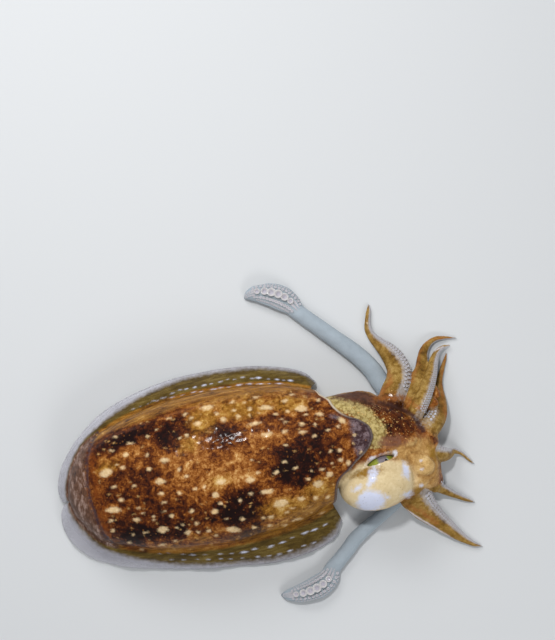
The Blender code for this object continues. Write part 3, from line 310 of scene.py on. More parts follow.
# steps from dark to light in each kind of skin: place from 0 to 1 and colour
BROWN_TONES = [(0.0, (26, 8, 3)), (0.18, (48, 19, 7)), (0.38, (88, 44, 14)), (0.56, (134, 78, 30)),
               (0.76, (180, 126, 68)), (0.95, (216, 178, 122))]
GOLD_TONES = [(0.0, (38, 22, 6)), (0.25, (86, 53, 14)), (0.5, (140, 94, 32)), (0.75, (176, 132, 62)),
              (1.0, (208, 178, 116))]
OLIVE_TONES = [(0.0, (40, 28, 10)), (0.5, (88, 70, 30)), (1.0, (134, 114, 64))]
LOBE_TONES = [(0.0, (26, 16, 17)), (0.45, (66, 48, 50)), (1.0, (156, 136, 140))]
ROSE_TONES = [(0.0, (44, 28, 24)), (0.5, (102, 72, 56)), (1.0, (184, 158, 146))]
ARM_TONES = [(0.0, (50, 32, 12)), (0.28, (88, 62, 24)), (0.52, (130, 98, 44)), (0.78, (168, 138, 80)),
             (1.0, (202, 182, 136))]
FACE_TONES = [(0.0, (74, 42, 18)), (0.3, (126, 82, 38)), (0.55, (170, 128, 74)), (0.8, (200, 164, 108)),
              (1.0, (222, 200, 158))]
BULGE_TONES = [(0.0, (142, 112, 68)), (0.4, (198, 172, 126)), (0.7, (216, 196, 156)), (1.0, (226, 216, 196))]


def linear(colour):
    """A colour, or a palette colour's name, as the shader's linear red, green, blue and alpha."""
    values = PALETTE[colour] if isinstance(colour, str) else colour
    return tuple((value / 255) ** 2.2 for value in values) + (1.0,)


def columns(rows):
    return [np.array(column, float) for column in zip(*rows)]


def smooth_line(xs, ys, limited=True):
    """A function of x that runs smoothly through the points (x, y), where limited never past them."""
    xs, ys = np.asarray(xs, float), np.asarray(ys, float)
    gaps = np.diff(xs)
    steps = np.diff(ys) / gaps
    slopes = np.concatenate([steps[:1], steps[:-1], steps[-1:]])
    if limited:
        total = np.where(steps[:-1] + steps[1:] == 0, 1, steps[:-1] + steps[1:])
        slopes[1:-1] = np.where(steps[:-1] * steps[1:] > 0, 2 * steps[:-1] * steps[1:] / total, 0)
    else:
        slopes[1:-1] = (steps[:-1] * gaps[1:] + steps[1:] * gaps[:-1]) / (gaps[:-1] + gaps[1:])

    def value(x):
        x = np.clip(x, xs[0], xs[-1])
        k = np.clip(np.searchsorted(xs, x, side="right") - 1, 0, len(gaps) - 1)
        t = (x - xs[k]) / gaps[k]
        return (ys[k] * (1 + 2 * t) * (1 - t) ** 2 + slopes[k] * gaps[k] * t * (1 - t) ** 2
                + ys[k + 1] * t * t * (3 - 2 * t) - slopes[k + 1] * gaps[k] * t * t * (1 - t))
    return value


def unit(vectors):
    return vectors / np.maximum(np.linalg.norm(vectors, axis=-1, keepdims=True), 1e-9)


def ramp(values, start, end):
    """0 up to start, 1 from end, smooth between them."""
    t = np.clip((values - start) / (end - start), 0, 1)
    return t * t * (3 - 2 * t)


def lumps(points, size, seed=0, octaves=3):
    """Smooth noise from about -1 to 1 at points, whose largest lumps are a size apart."""
    total = np.zeros(len(points))
    for octave in range(octaves):
        places = points * (2 ** octave / size) + 31.7 * (seed + octave)
        cells = np.floor(places).astype(np.int64)
        shares = places - cells
        shares = shares * shares * (3 - 2 * shares)
        for corner in range(8):
            step = np.array([corner & 1, corner >> 1 & 1, corner >> 2])
            key = (cells + step) @ np.array([374761393, 668265263, 1440662683]) + seed * 1274126177
            key = (key ^ (key >> 13)) * 1274126177
            key = (key ^ (key >> 16)) & 0xFFFF
            weight = np.prod(np.where(step, shares, 1 - shares), axis=1)
            total += weight * (key / 0x7FFF - 1) / 2 ** octave
    return total


def route(rows, step):
    """Rows a step apart along a smooth route given as x, y, z, width and height."""
    values = columns(rows)
    places = np.stack(values[:3], axis=-1)
    lengths = np.concatenate([[0], np.cumsum(np.linalg.norm(np.diff(places, axis=0), axis=1))])
    marks = np.linspace(0, lengths[-1], max(4, round(lengths[-1] / step) + 1))
    return np.stack([smooth_line(lengths, column, k > 2)(marks) for k, column in enumerate(values)], axis=-1)


def frames(samples):
    """For each row of a route: its middle, and the directions along it, level to its right, and up."""
    middles = samples[:, :3]
    along = unit(np.concatenate([middles[1:2] - middles[:1], middles[2:] - middles[:-2],
                                 middles[-1:] - middles[-2:-1]]))
    right = unit(np.cross(along, (0.0, 0.0, 1.0)))
    return middles, along, right, np.cross(right, along)


def plan_curve(points, count):
    """Points of a smooth curve through points of the plan, and each one's mark, from 0 to the last number."""
    marks = np.linspace(0, len(points) - 1, count)
    numbers = np.arange(len(points))
    places = [smooth_line(numbers, values, False)(marks) for values in columns(points)]
    return np.stack(places, axis=-1), marks


def plan_distance(points, curve):
    """Distance in the plan from each point to a smooth curve through a few points."""
    line = plan_curve(curve, 8 * len(curve))[0]
    best = np.full(len(points), 1e6)
    for a, b in zip(line, line[1:]):
        share = np.clip((points[:, :2] - a) @ (b - a) / ((b - a) @ (b - a)), 0, 1)
        best = np.minimum(best, np.linalg.norm(points[:, :2] - a - share[:, None] * (b - a), axis=1))
    return best


def inside_ovals(points, ovals, soft=1.6):
    """1 inside the ovals, 0.5 on their edge, 0 outside. The edge is about soft millimetres wide each way."""
    mask = np.zeros(len(points))
    for x, y, length, width, *turn in ovals:
        angle = radians(turn[0]) if turn else 0.0
        dx, dy = points[:, 0] - x, points[:, 1] - y
        along, across = dx * cos(angle) + dy * sin(angle), dy * cos(angle) - dx * sin(angle)
        reach = np.hypot(along / (length / 2), across / (width / 2))
        mask = np.maximum(mask, 0.5 + (1 - reach) * min(length, width) / 4 / soft)
    return np.clip(mask, 0, 1)


def grid_faces(rows, count, closed=True):
    """Quads between rows of count points, closed round each row or open."""
    k = np.arange(count if closed else count - 1)
    base = np.arange(rows - 1)[:, None] * count
    after = (k + 1) % count
    return np.stack([base + k, base + after, base + count + after, base + count + k], axis=-1).reshape(-1, 4)


def mesh_object(name, points, faces):
    """An object of points in millimetres and faces, with its faces turned outwards."""
    mesh = bpy.data.meshes.new(name)
    mesh.from_pydata((np.asarray(points) * MM).tolist(), [], [tuple(face) for face in faces])
    bm = bmesh.new()
    bm.from_mesh(mesh)
    bmesh.ops.recalc_face_normals(bm, faces=bm.faces)
    bm.to_mesh(mesh)
    bm.free()
    mesh.shade_smooth()
    made = bpy.data.objects.new(name, mesh)
    bpy.context.scene.collection.objects.link(made)
    return made


def shell(name, rings, start=None, end=None):
    """A closed skin through rings of points, an array of rows by points, with a pole at each end."""
    rows, count = rings.shape[:2]
    start = rings[0].mean(axis=0) if start is None else start
    end = rings[-1].mean(axis=0) if end is None else end
    points = np.concatenate([rings.reshape(-1, 3), [start, end]])
    faces = grid_faces(rows, count).tolist()
    last = (rows - 1) * count
    for k in range(count):
        after = (k + 1) % count
        faces.append((after, k, rows * count))
        faces.append((last + k, last + after, rows * count + 1))
    return mesh_object(name, points, faces)


def ball(name, centre, sizes, turn=0.0, segments=48, rings=32):
    """An ellipsoid of half sizes, turned in degrees about +Z."""
    latitude = np.linspace(0, pi, rings + 1)[1:-1, None]
    longitude = np.linspace(0, 2 * pi, segments, endpoint=False)
    local = np.stack([np.sin(latitude) * np.cos(longitude), np.sin(latitude) * np.sin(longitude),
                      np.cos(latitude) + 0 * longitude], axis=-1) * sizes
    angle = radians(turn)
    place = np.array([[cos(angle), sin(angle), 0], [-sin(angle), cos(angle), 0], [0, 0, 1]])
    pole = np.array([0, 0, sizes[2]], float)
    return shell(name, local @ place + centre, centre + pole, centre - pole)


def points_of(target):
    """The places of a mesh object's points, in millimetres."""
    found = np.empty(len(target.data.vertices) * 3)
    target.data.vertices.foreach_get("co", found)
    return found.reshape(-1, 3) / MM


def normals_of(target):
    found = np.empty(len(target.data.vertices) * 3)
    target.data.vertex_normals.foreach_get("vector", found)
    return found.reshape(-1, 3)


def move_points(target, points):
    """Places the points of a mesh object, kept within the box of the solids."""
    inside = np.clip(points, *(np.array(corner) / MM for corner in cad_box))
    target.data.vertices.foreach_set("co", (inside * MM).ravel())
    target.data.update()


def set_mask(target, name, values):
    """Keeps a value for each point, which the finish reads by its name."""
    made = target.data.attributes.new(name, "FLOAT", "POINT")
    made.data.foreach_set("value", np.asarray(values, np.float32))


def relax(target, rounds, share=None, factor=0.5):
    """Moves each point towards the middle of its neighbours, by its share."""
    edges = np.empty(len(target.data.edges) * 2, np.int32)
    target.data.edges.foreach_get("vertices", edges)
    one, two = edges[::2], edges[1::2]
    points = points_of(target)
    count = np.bincount(one, minlength=len(points)) + np.bincount(two, minlength=len(points))
    weight = factor * (np.ones(len(points)) if share is None else share)[:, None]
    for _ in range(rounds):
        middle = np.stack([np.bincount(one, points[two, k], len(points))
                           + np.bincount(two, points[one, k], len(points)) for k in range(3)], axis=-1)
        points += weight * (middle / np.maximum(count, 1)[:, None] - points)
    move_points(target, points)


def settle(target):
    """Applies the modifiers of an object."""
    bpy.context.view_layer.update()
    shown = target.evaluated_get(bpy.context.evaluated_depsgraph_get())
    mesh = bpy.data.meshes.new_from_object(shown)
    target.modifiers.clear()
    old, target.data = target.data, mesh
    mesh.name = target.name
    bpy.data.meshes.remove(old)
    target.data.shade_smooth()


def remove(*objects):
    for unwanted in objects:
        mesh = unwanted.data
        bpy.data.objects.remove(unwanted)
        bpy.data.meshes.remove(mesh)


def combine(target, other, operation):
    """Joins target with another closed shape or cuts it by it, and removes the other."""
    change = target.modifiers.new(operation, "BOOLEAN")
    change.operation = operation
    change.solver = "MANIFOLD"
    change.object = other
    settle(target)
    remove(other)


def merge(target, others):
    """Adds the faces of the others to target, unjoined, and removes them."""
    bm = bmesh.new()
    for source in [target, *others]:
        bm.from_mesh(source.data)
    bm.to_mesh(target.data)
    bm.free()
    remove(*others)


def remesh(target, voxel, smoothing):
    """Makes one even skin round all that target holds."""
    even = target.modifiers.new("even", "REMESH")
    even.mode = "VOXEL"
    even.voxel_size = voxel * MM
    settle(target)
    relax(target, smoothing)


def surface_of(target):
    return BVHTree.FromPolygons(points_of(target).tolist(), [face.vertices for face in target.data.polygons])


def nearest(points, samples):
    """The number of the sample nearest to each point, and how far it is."""
    tree = KDTree(len(samples))
    for k, sample in enumerate(samples):
        tree.insert(sample, k)
    tree.balance()
    found = [tree.find(point)[1:] for point in points]
    return np.array([k for k, _ in found], int), np.array([distance for _, distance in found])


def mantle_surface(x, angle, inset=0.0):
    """Points on the mantle at x, at an angle in degrees from its left over the back."""
    back, flank, belly = back_at(x), flank_at(x), belly_at(x)
    c, s = np.cos(np.radians(angle)), np.sin(np.radians(angle))
    power = np.where(s >= 0, 2 / 2.25, 2 / 2.6)
    reach = np.where(s >= 0, back - flank, flank - belly) - inset
    y = np.maximum(half_width_at(x) - inset, 0) * np.abs(c) ** power * np.sign(c)
    z = flank + np.maximum(reach, 0) * np.abs(s) ** power * np.sign(s)
    return np.stack(np.broadcast_arrays(x, y, np.maximum(z, inset)), axis=-1)


half_width_at = smooth_line(*columns(MANTLE_HALF_WIDTH))
back_at = smooth_line(*columns(MANTLE_BACK))
flank_at = smooth_line(*columns(MANTLE_FLANK))
belly_at = smooth_line(*columns(MANTLE_BELLY))
margin_at = smooth_line(*columns(MANTLE_MARGIN))


def evenly(marks, places, weights, count):
    """Count marks spaced evenly along places, closer where the weight is greater."""
    steps = np.linalg.norm(np.diff(places, axis=0), axis=1) * (weights[1:] + weights[:-1]) / 2
    lengths = np.concatenate([[0], np.cumsum(steps)])
    return np.interp(np.linspace(0, lengths[-1], count), lengths, marks)


def mantle_shell():
    """The sac of the body, from its rear end to the front margin, with the hollow that holds the neck."""
    dense = np.linspace(-14, 346, 4001)
    weights = np.where(dense < 194, 1.0, 0.42)
    angles = evenly(dense, mantle_surface(np.zeros(4001), dense), weights, MANTLE_COLUMNS + 1)[:-1]
    angles = angles % 360
    profile = np.linspace(MANTLE_REAR + 0.3, MANTLE_TRUNK, 2001)
    top = mantle_surface(profile, 90.0)
    length = np.linalg.norm(np.diff(top, axis=0), axis=1).sum()
    stations = evenly(profile, top, np.ones(2001), round(length / MANTLE_SPACING))
    trunk = mantle_surface(stations[:, None], angles[None, :])
    margin = margin_at(angles)
    half = MARGIN_THICKNESS / 2
    rows = []
    for share in np.linspace(0, 1, MARGIN_ROWS)[1:]:
        rows.append(mantle_surface(MANTLE_TRUNK + (margin - half - MANTLE_TRUNK) * share, angles))
    for turn in np.linspace(0, pi, 7)[1:]:
        rows.append(mantle_surface(margin - half + half * sin(turn), angles, half * (1 - cos(turn))))
    for share in np.linspace(1, 0.1, 10)[1:]:
        rows.append(mantle_surface(MANTLE_TRUNK + (margin - half - MANTLE_TRUNK) * share, angles,
                                   MARGIN_THICKNESS))
    centre = np.array(POCKET_CENTRE)
    rows.append(rows[-1] + (centre - rows[-1]) * 0.25)
    rings = np.concatenate([trunk, np.array(rows)])
    return shell("body_skin", rings, mantle_surface(np.float64(MANTLE_REAR), 0.0), centre)


def fin_blade(side):
    """One side fin: a thin blade from the flank, drooping to a wavy, finely rippled edge above the floor."""
    roots, marks = plan_curve(FIN_ROOTS[side], FIN_ROWS)
    edges = plan_curve(FIN_EDGES[side], FIN_ROWS)[0]
    sign = FIN_SIDES[side]
    shares = np.concatenate([[-0.25], np.linspace(0, 1, FIN_LANES)])
    wave = 1.5 * np.sin(marks * 2.9 + sign) + 0.8 * np.sin(marks * 5.3)
    ripple = 0.55 * np.sin(marks * 13.0 + sign) + 0.35 * np.sin(marks * 21.0)
    root_height = flank_at(roots[:, 0])
    drop = np.maximum(shares, 0) ** 1.35
    edge_height = (FIN_EDGE_HEIGHT + wave)[:, None] + ripple[:, None] * ramp(shares, 0.4, 1.0)
    plan = roots[:, None] + (edges - roots)[:, None] * shares[:, None]
    height = root_height[:, None] + (edge_height - root_height[:, None]) * drop
    middle = np.concatenate([plan, height[..., None]], axis=-1)
    along = unit(np.gradient(middle, axis=1))
    level = np.hypot(along[..., 0], along[..., 1])
    outwards = along[..., :2] / np.maximum(level, 1e-9)[..., None]
    normal = np.concatenate([-outwards * along[..., 2:], level[..., None]], axis=-1)
    thickness = FIN_ROOT_THICKNESS + (FIN_EDGE_THICKNESS - FIN_ROOT_THICKNESS) * np.maximum(shares, 0) ** 0.7
    half = (thickness / 2)[None, :, None]
    upper, lower = middle + normal * half, middle - normal * half
    rim = []
    for turn in (0.25, 0.5, 0.75):
        tip = middle[:, -1] + normal[:, -1] * (cos(turn * pi) * FIN_EDGE_THICKNESS / 2)
        rim.append(tip + along[:, -1] * (sin(turn * pi) * FIN_EDGE_THICKNESS / 2 - FIN_EDGE_THICKNESS / 2))
    rings = np.concatenate([upper, np.stack(rim, axis=1), lower[:, ::-1]], axis=1)
    rings[..., 2] = np.maximum(rings[..., 2], 0.3)
    lanes = np.concatenate([shares, [1, 1, 1], shares[::-1]])
    return shell(f"fin_{side}_blade", rings), rings.reshape(-1, 3), np.tile(lanes, FIN_ROWS)


def dash_ovals():
    """The ovals of the bright dashes along the fins' roots."""
    ovals = []
    draw = np.random.default_rng(SPOT_SEED)
    for points, spacing, length, width in DASH_ROWS:
        line = plan_curve(points, 400)[0]
        lengths = np.concatenate([[0], np.cumsum(np.linalg.norm(np.diff(line, axis=0), axis=1))])
        for place in np.arange(spacing / 2, lengths[-1], spacing):
            place += draw.uniform(-0.2, 0.2) * spacing
            x, y = np.interp(place, lengths, line[:, 0]), np.interp(place, lengths, line[:, 1])
            ahead = np.interp(place + 2, lengths, line[:, 1])
            turn = np.degrees(np.arctan2(ahead - y, 2))
            size = draw.uniform(0.35, 1.1)
            y += draw.uniform(-0.8, 0.8)
            ovals.append((x, y, length * size, width * size, turn))
    return ovals


def small_spots():
    """Seeded small pale spots that fill in between the named ones."""
    draw = np.random.default_rng(SPOT_SEED + 1)
    return [tuple(draw.uniform(*ends) for ends in SPOT_RANGES) for _ in range(SPOT_COUNT)]


def body_skin():
    """The mantle and both fins as one skin, its fine relief, and the masks of its markings."""
    body = mantle_shell()
    fin_points, fin_shares = [], []
    for side in FIN_ROOTS:
        blade, points, shares = fin_blade(side)
        fin_points.append(points)
        fin_shares.append(shares)
        combine(body, blade, "UNION")
    points = points_of(body)
    root = np.minimum(plan_distance(points, FIN_ROOTS["left"]), plan_distance(points, FIN_ROOTS["right"]))
    near_root = (1 - ramp(root, 3.0, 7.0)) * (points[:, 2] > 4)
    relax(body, 14, near_root)

    points, normals = points_of(body), normals_of(body)
    index, distance = nearest(points, np.concatenate(fin_points))
    share = np.concatenate(fin_shares)[index]
    on_fin = (distance < 2.2) & (share > 0.02)
    fin = np.where(on_fin, share, 0.0)
    top = ramp(normals[:, 2], -0.25, 0.25)
    off_fin = 1 - ramp(fin, 0, 0.3)
    heights = (0.30 * lumps(points * (0.6, 1, 1), 9, 3) + 0.14 * lumps(points, 3.2, 4, 2)) * off_fin
    heights -= 0.9 * np.exp(-(plan_distance(points, REAR_CREASE) / 1.5) ** 2) * top
    crest = np.minimum(plan_distance(points, CREST_RIDGE), plan_distance(points, CREST_STREAK))
    heights += 0.22 * np.exp(-(crest / 0.8) ** 2) * top
    heights += 0.10 * lumps(points, 2.4, 8, 2) * ramp(fin, 0, 0.3)
    edge = np.minimum(plan_distance(points, SHIELD_LEFT), plan_distance(points, SHIELD_RIGHT))
    heights -= 0.5 * np.exp(-(edge / 2.4) ** 2) * top * (fin < 0.02)
    heights *= np.where(points[:, 2] < 2.0, 0, 1)
    move_points(body, points + normals * np.where(heights > -1.2, heights, -1.2)[:, None])

    shape = points * (1, 1, 0)
    warp = np.stack([lumps(points, 16, 21, 3), lumps(points, 16, 22, 3), 0 * share], axis=-1) * 2.4
    place = shape + warp
    tone = 0.46 + 0.14 * inside_ovals(place, TAN_PATCHES, 10) + 0.10 * inside_ovals(place, YELLOW_PATCHES, 8)
    tone -= 0.15 * inside_ovals(place, SHADE_PATCHES, 7)
    tone -= 0.26 * inside_ovals(place, DARK_PATCHES, 4.5)
    tone -= 0.14 * inside_ovals(place, BLACK_CORES, 4.0)
    halos = [(x, y, 1.5 * length, 1.7 * width, turn) for x, y, length, width, turn in PALE_BARS]
    tone += 0.12 * inside_ovals(place, halos, 2.5)
    set_mask(body, "tone", tone)
    golden = np.maximum(inside_ovals(place, GOLD_PATCHES, 8), 0.75 * inside_ovals(place, YELLOW_PATCHES, 6))
    set_mask(body, "gold", np.maximum(golden, ramp(edge_side(points), -2, 8)))
    set_mask(body, "flank", ramp(edge_side(points), -6, 6))
    small_warp = np.stack([lumps(points, 4, 23, 2), lumps(points, 4, 24, 2), 0 * share], axis=-1) * 0.9
    bars = [(x, y, 0.88 * length, 0.84 * width, turn) for x, y, length, width, turn in PALE_BARS]
    spots = inside_ovals(shape + small_warp, bars + PALE_SPOTS, 1.2)
    fine = inside_ovals(shape + small_warp, small_spots(), 0.9)
    set_mask(body, "pale", 0.86 * spots * top * (fin < 0.05))
    set_mask(body, "small", 0.7 * fine * top * (fin < 0.05))
    behind = -plan_side(points, REAR_CREASE)
    set_mask(body, "band", ramp(behind, -4.0, 6.0) * top)
    set_mask(body, "crease", 0.62 * np.exp(-(plan_distance(points, REAR_CREASE) / 2.4) ** 2) * top)
    lobe = ramp(points[:, 0] - 0.004 * (points[:, 1] - 2) ** 2, 133, 144) * top
    set_mask(body, "lobe", np.maximum(lobe, 0.9 * inside_ovals(shape, [(127, 25, 12, 6, -30)], 2.5)))
    rim = ramp(points[:, 0], -125, -119) * (1 - ramp(points[:, 0], -116, -108))
    set_mask(body, "orange", 0.40 * rim * (1 - ramp(np.abs(points[:, 1]), 46, 54)) * top)
    fin_width = np.linalg.norm(plan_curve(FIN_EDGES["left"], 60)[0] - plan_curve(FIN_ROOTS["left"], 60)[0],
                               axis=1).mean()
    clear = smooth_line(*columns(CLEAR_EDGE))(points[:, 0])
    inward = (1 - fin) * fin_width
    set_mask(body, "web", ramp(fin, 0.02, 0.22))
    set_mask(body, "clear", np.clip(0.5 + (clear - inward) / 6, 0, 1) * (fin > 0.05))
    forward = 0.55 + 0.35 * ramp(points[:, 0], -60, 20)
    set_mask(body, "dash", inside_ovals(shape, dash_ovals(), 0.8) * ramp(normals[:, 2], 0.4, 0.6) * forward)
    set_mask(body, "under", (1 - top) * (fin < 0.3))
    around = np.arange(0, 360, 0.75)
    margin = mantle_surface(margin_at(around) - MARGIN_THICKNESS / 2, around, 0.2)
    to_margin = nearest(points, margin)[1]
    on_flank = ramp(points[:, 1], 20, 36)
    set_mask(body, "margin", (0.25 + 0.55 * on_flank) * (1 - ramp(to_margin, 0.7, 1.9)))
    # a painted shadow: a dark slate line on the back along the front margin's edge, where its lip overhangs
    # the head
    set_mask(body, "rim", 0.8 * (1 - ramp(to_margin, 1.4, 3.4)) * (1 - on_flank) * top)
    return body


def edge_side(points):
    """Distance in the plan out past the outline of the patterned back, less inside it."""
    left = points[:, 1] - smooth_line(*columns(SHIELD_LEFT))(points[:, 0])
    right = smooth_line(*columns(SHIELD_RIGHT))(points[:, 0]) - points[:, 1]
    return np.maximum(left, right)


def plan_side(points, curve):
    """Signed distance in the plan to a curve that runs towards -Y: positive on its head side."""
    line = plan_curve(curve, 8 * len(curve))[0]
    order = np.argsort(line[:, 1])
    return points[:, 0] - np.interp(points[:, 1], line[order, 1], line[order, 0])


def tube_rings(samples, sides, reach=None):
    """Rings of points round a route, flat on the floor. reach gives how far out each point of them lies."""
    middles, along, right, up = frames(samples)
    angles = 2 * pi * (np.arange(sides) + 0.5) / sides
    out = 1.0 if reach is None else reach(samples, np.degrees(angles))
    across = (np.cos(angles) * samples[:, 3:4] / 2 * out)[..., None]
    tall = (np.sin(angles) * samples[:, 4:5] / 2 * out)[..., None]
    rings = middles[:, None] + right[:, None] * across + up[:, None] * tall
    rings[..., 2] = np.maximum(rings[..., 2], 0)
    return rings


def tube(name, samples, sides, reach=None):
    rings = tube_rings(samples, sides, reach)
    middles, along, right, up = frames(samples)
    tip = middles[-1] + along[-1] * samples[-1, 3] * 0.5
    return shell(name, rings, None, np.array([tip[0], tip[1], max(tip[2], 0.3)]))


def sucker_angle(name, shares):
    """Degrees round an arm's section to the middle of its sucker side, at shares of its length."""
    return SUCKER_SIDE[name] + SUCKER_TWIST.get(name, 0) * ramp(shares, 0.3, 0.6)


def arm_reach(name, keel):
    """The section of an arm: flattened between two raised edges on its sucker side, keeled behind."""
    def reach(samples, angles):
        turn = (angles - sucker_angle(name, np.linspace(0, 1, len(samples)))[:, None] + 180) % 360 - 180
        length = np.linalg.norm(np.diff(samples[:, :3], axis=0), axis=1).mean() * np.arange(len(samples))
        pitch = np.interp(np.arange(len(samples)), [0, len(samples) - 1], [4.4, 1.8])
        phase = np.cumsum(np.gradient(length) / pitch) * 2 * pi
        scallop = 0.72 + 0.28 * np.cos(phase)[:, None]
        face = -0.09 * np.exp(-(turn / 34) ** 2)
        edges = 0.06 * np.exp(-((np.abs(turn) - 48) / 11) ** 2) * scallop
        return 1 + face + edges + keel * np.exp(-((turn + 118) / 16) ** 2)
    return reach


def eye_axes(look, turn):
    """The directions out of an eye, along its opening towards the arms, and across the opening."""
    out = Vector(look).normalized()
    ahead = Vector((cos(radians(turn)), sin(radians(turn)), 0))
    ahead = (ahead - out * ahead.dot(out)).normalized()
    return np.array(out), np.array(ahead), np.array(out.cross(ahead))


def opening_ring(centre, radius, look, half_length, half_height, turn, depth, spread=1.0, count=64):
    """Points round the lens-shaped opening between the lids, at a depth along the look."""
    out, ahead, across = eye_axes(look, turn)
    angle = 2 * pi * np.arange(count) / count
    height = half_height * np.abs(np.sin(angle)) ** 1.25 * np.sign(np.sin(angle))
    offset = ahead * (half_length * np.cos(angle))[:, None] + across * height[:, None]
    return np.array(centre) + out * depth + offset * spread


def lid_rim(owner, values, spread, radius):
    """A round rim on the head's surface, round an eye's opening."""
    out = eye_axes(values[2], values[5])[0]
    surface = surface_of(owner)
    line = []
    for point in opening_ring(*values, depth=60.0, spread=spread):
        hit = surface.ray_cast(Vector(point), Vector(-out))[0]
        line.append(np.array(hit) - out * 0.5)
    line = np.array(line)
    along = unit(np.roll(line, -1, axis=0) - np.roll(line, 1, axis=0))
    side = unit(np.cross(along, out))
    up = np.cross(side, along)
    angles = 2 * pi * np.arange(14) / 14
    around = side[:, None] * np.cos(angles)[:, None] + up[:, None] * np.sin(angles)[:, None]
    rings = line[:, None] + around * radius
    faces = grid_faces(len(line) + 1, 14) % (len(line) * 14)
    return mesh_object("lid", rings.reshape(-1, 3), faces.tolist())


def head_mass():
    """The head as in the solids: its core and masses as one smooth form."""
    values = columns(HEAD_CORE)
    x = np.linspace(values[0][0], values[0][-1], 66)
    left, right, top, under = (smooth_line(values[0], column)(x)[:, None] for column in values[1:])
    angle = 2 * pi * np.arange(72) / 72
    c, s = np.cos(angle), np.sin(angle)
    power = 2 / 2.35
    y = (left + right) / 2 + (left - right) / 2 * np.abs(c) ** power * np.sign(c)
    z = (top + under) / 2 + (top - under) / 2 * np.abs(s) ** power * np.sign(s)
    made = shell("head_skin", np.stack(np.broadcast_arrays(x[:, None], y, z), axis=-1))
    merge(made, [ball("mass", np.array(centre, float), sizes, turn) for centre, sizes, turn in HEAD_MASSES])
    even = made.modifiers.new("even", "REMESH")
    even.mode = "VOXEL"
    even.voxel_size = HEAD_VOXEL * MM
    soften = made.modifiers.new("soften", "SMOOTH")
    soften.factor = 0.5
    soften.iterations = HEAD_SMOOTHING
    settle(made)
    return made


def head_skin():
    """The head and its eight arms as one skin, open over the eyes."""
    made = head_mass()
    rims = []
    for centre, radius, *_ in EYES.values():
        combine(made, ball("lid_flesh", np.array(centre, float), (radius + LID_THICKNESS,) * 3), "UNION")
    for side, values in EYES.items():
        rims.append(lid_rim(made, values, 1.10, LID_RADIUS[side]))
    for side, values in EYES.items():
        radius = values[1]
        rings = np.stack([opening_ring(*values, depth=radius * 0.45, spread=0.92),
                          opening_ring(*values, depth=radius + 14, spread=1.10)])
        combine(made, shell("opening", rings), "DIFFERENCE")
        combine(made, ball("socket", np.array(values[0], float), (radius + SOCKET_GAP,) * 3), "DIFFERENCE")
    limbs = [tube(name + "_form", route(rows, 1.0), 56, arm_reach(name, BROAD_KEEL.get(name, KEEL)))
             for name, rows in ARMS.items()]
    webs = [ball("web", np.array(centre, float), sizes, turn) for centre, sizes, turn in ARM_WEBS]
    merge(made, rims + limbs + webs)
    remesh(made, SKIN_VOXEL, 3)
    return made


def clear_of_eyes(points):
    """Moves points of the skin out of the eyeballs, so that the lids lie just over them."""
    for centre, radius, *_ in EYES.values():
        offset = points - np.array(centre, float)
        far, wanted = np.linalg.norm(offset, axis=1, keepdims=True), radius + LID_GAP
        points = np.where(far < wanted, centre + offset * wanted / np.maximum(far, 1), points)
    return points


def arm_places(points):
    """For each point of the head's skin: the arm it lies on, how far along, and the angle round it."""
    best = np.full(len(points), 9.0)
    share, turn, limb = np.zeros(len(points)), np.full(len(points), 180.0), np.full(len(points), -1)
    for number, (name, rows) in enumerate(ARMS.items()):
        samples = route(rows, 1.0)
        middles, along, right, up = frames(samples)
        low, high = middles.min(axis=0) - 18, middles.max(axis=0) + 18
        chosen = np.flatnonzero(((points > low) & (points < high)).all(axis=1))
        index, _ = nearest(points[chosen], middles)
        offset = points[chosen] - middles[index]
        across = (offset * right[index]).sum(axis=1) / (samples[index, 3] / 2)
        tall = (offset * up[index]).sum(axis=1) / (samples[index, 4] / 2)
        off = np.abs(np.hypot(across, tall) - 1)
        better = off < best[chosen]
        at = chosen[better]
        best[at] = off[better]
        marks = index / (len(samples) - 1)
        share[at] = marks[better]
        angle = np.degrees(np.arctan2(tall, across))
        turn[at] = ((angle - sucker_angle(name, marks) + 180) % 360 - 180)[better]
        limb[at] = number
    return best, share, turn, limb


def near_lines(points, lines, width):
    """1 on any of the lines seen from above, falling to 0 over about a width on each side."""
    return np.exp(-(np.min([plan_distance(points, line) for line in lines], axis=0) / width) ** 2)


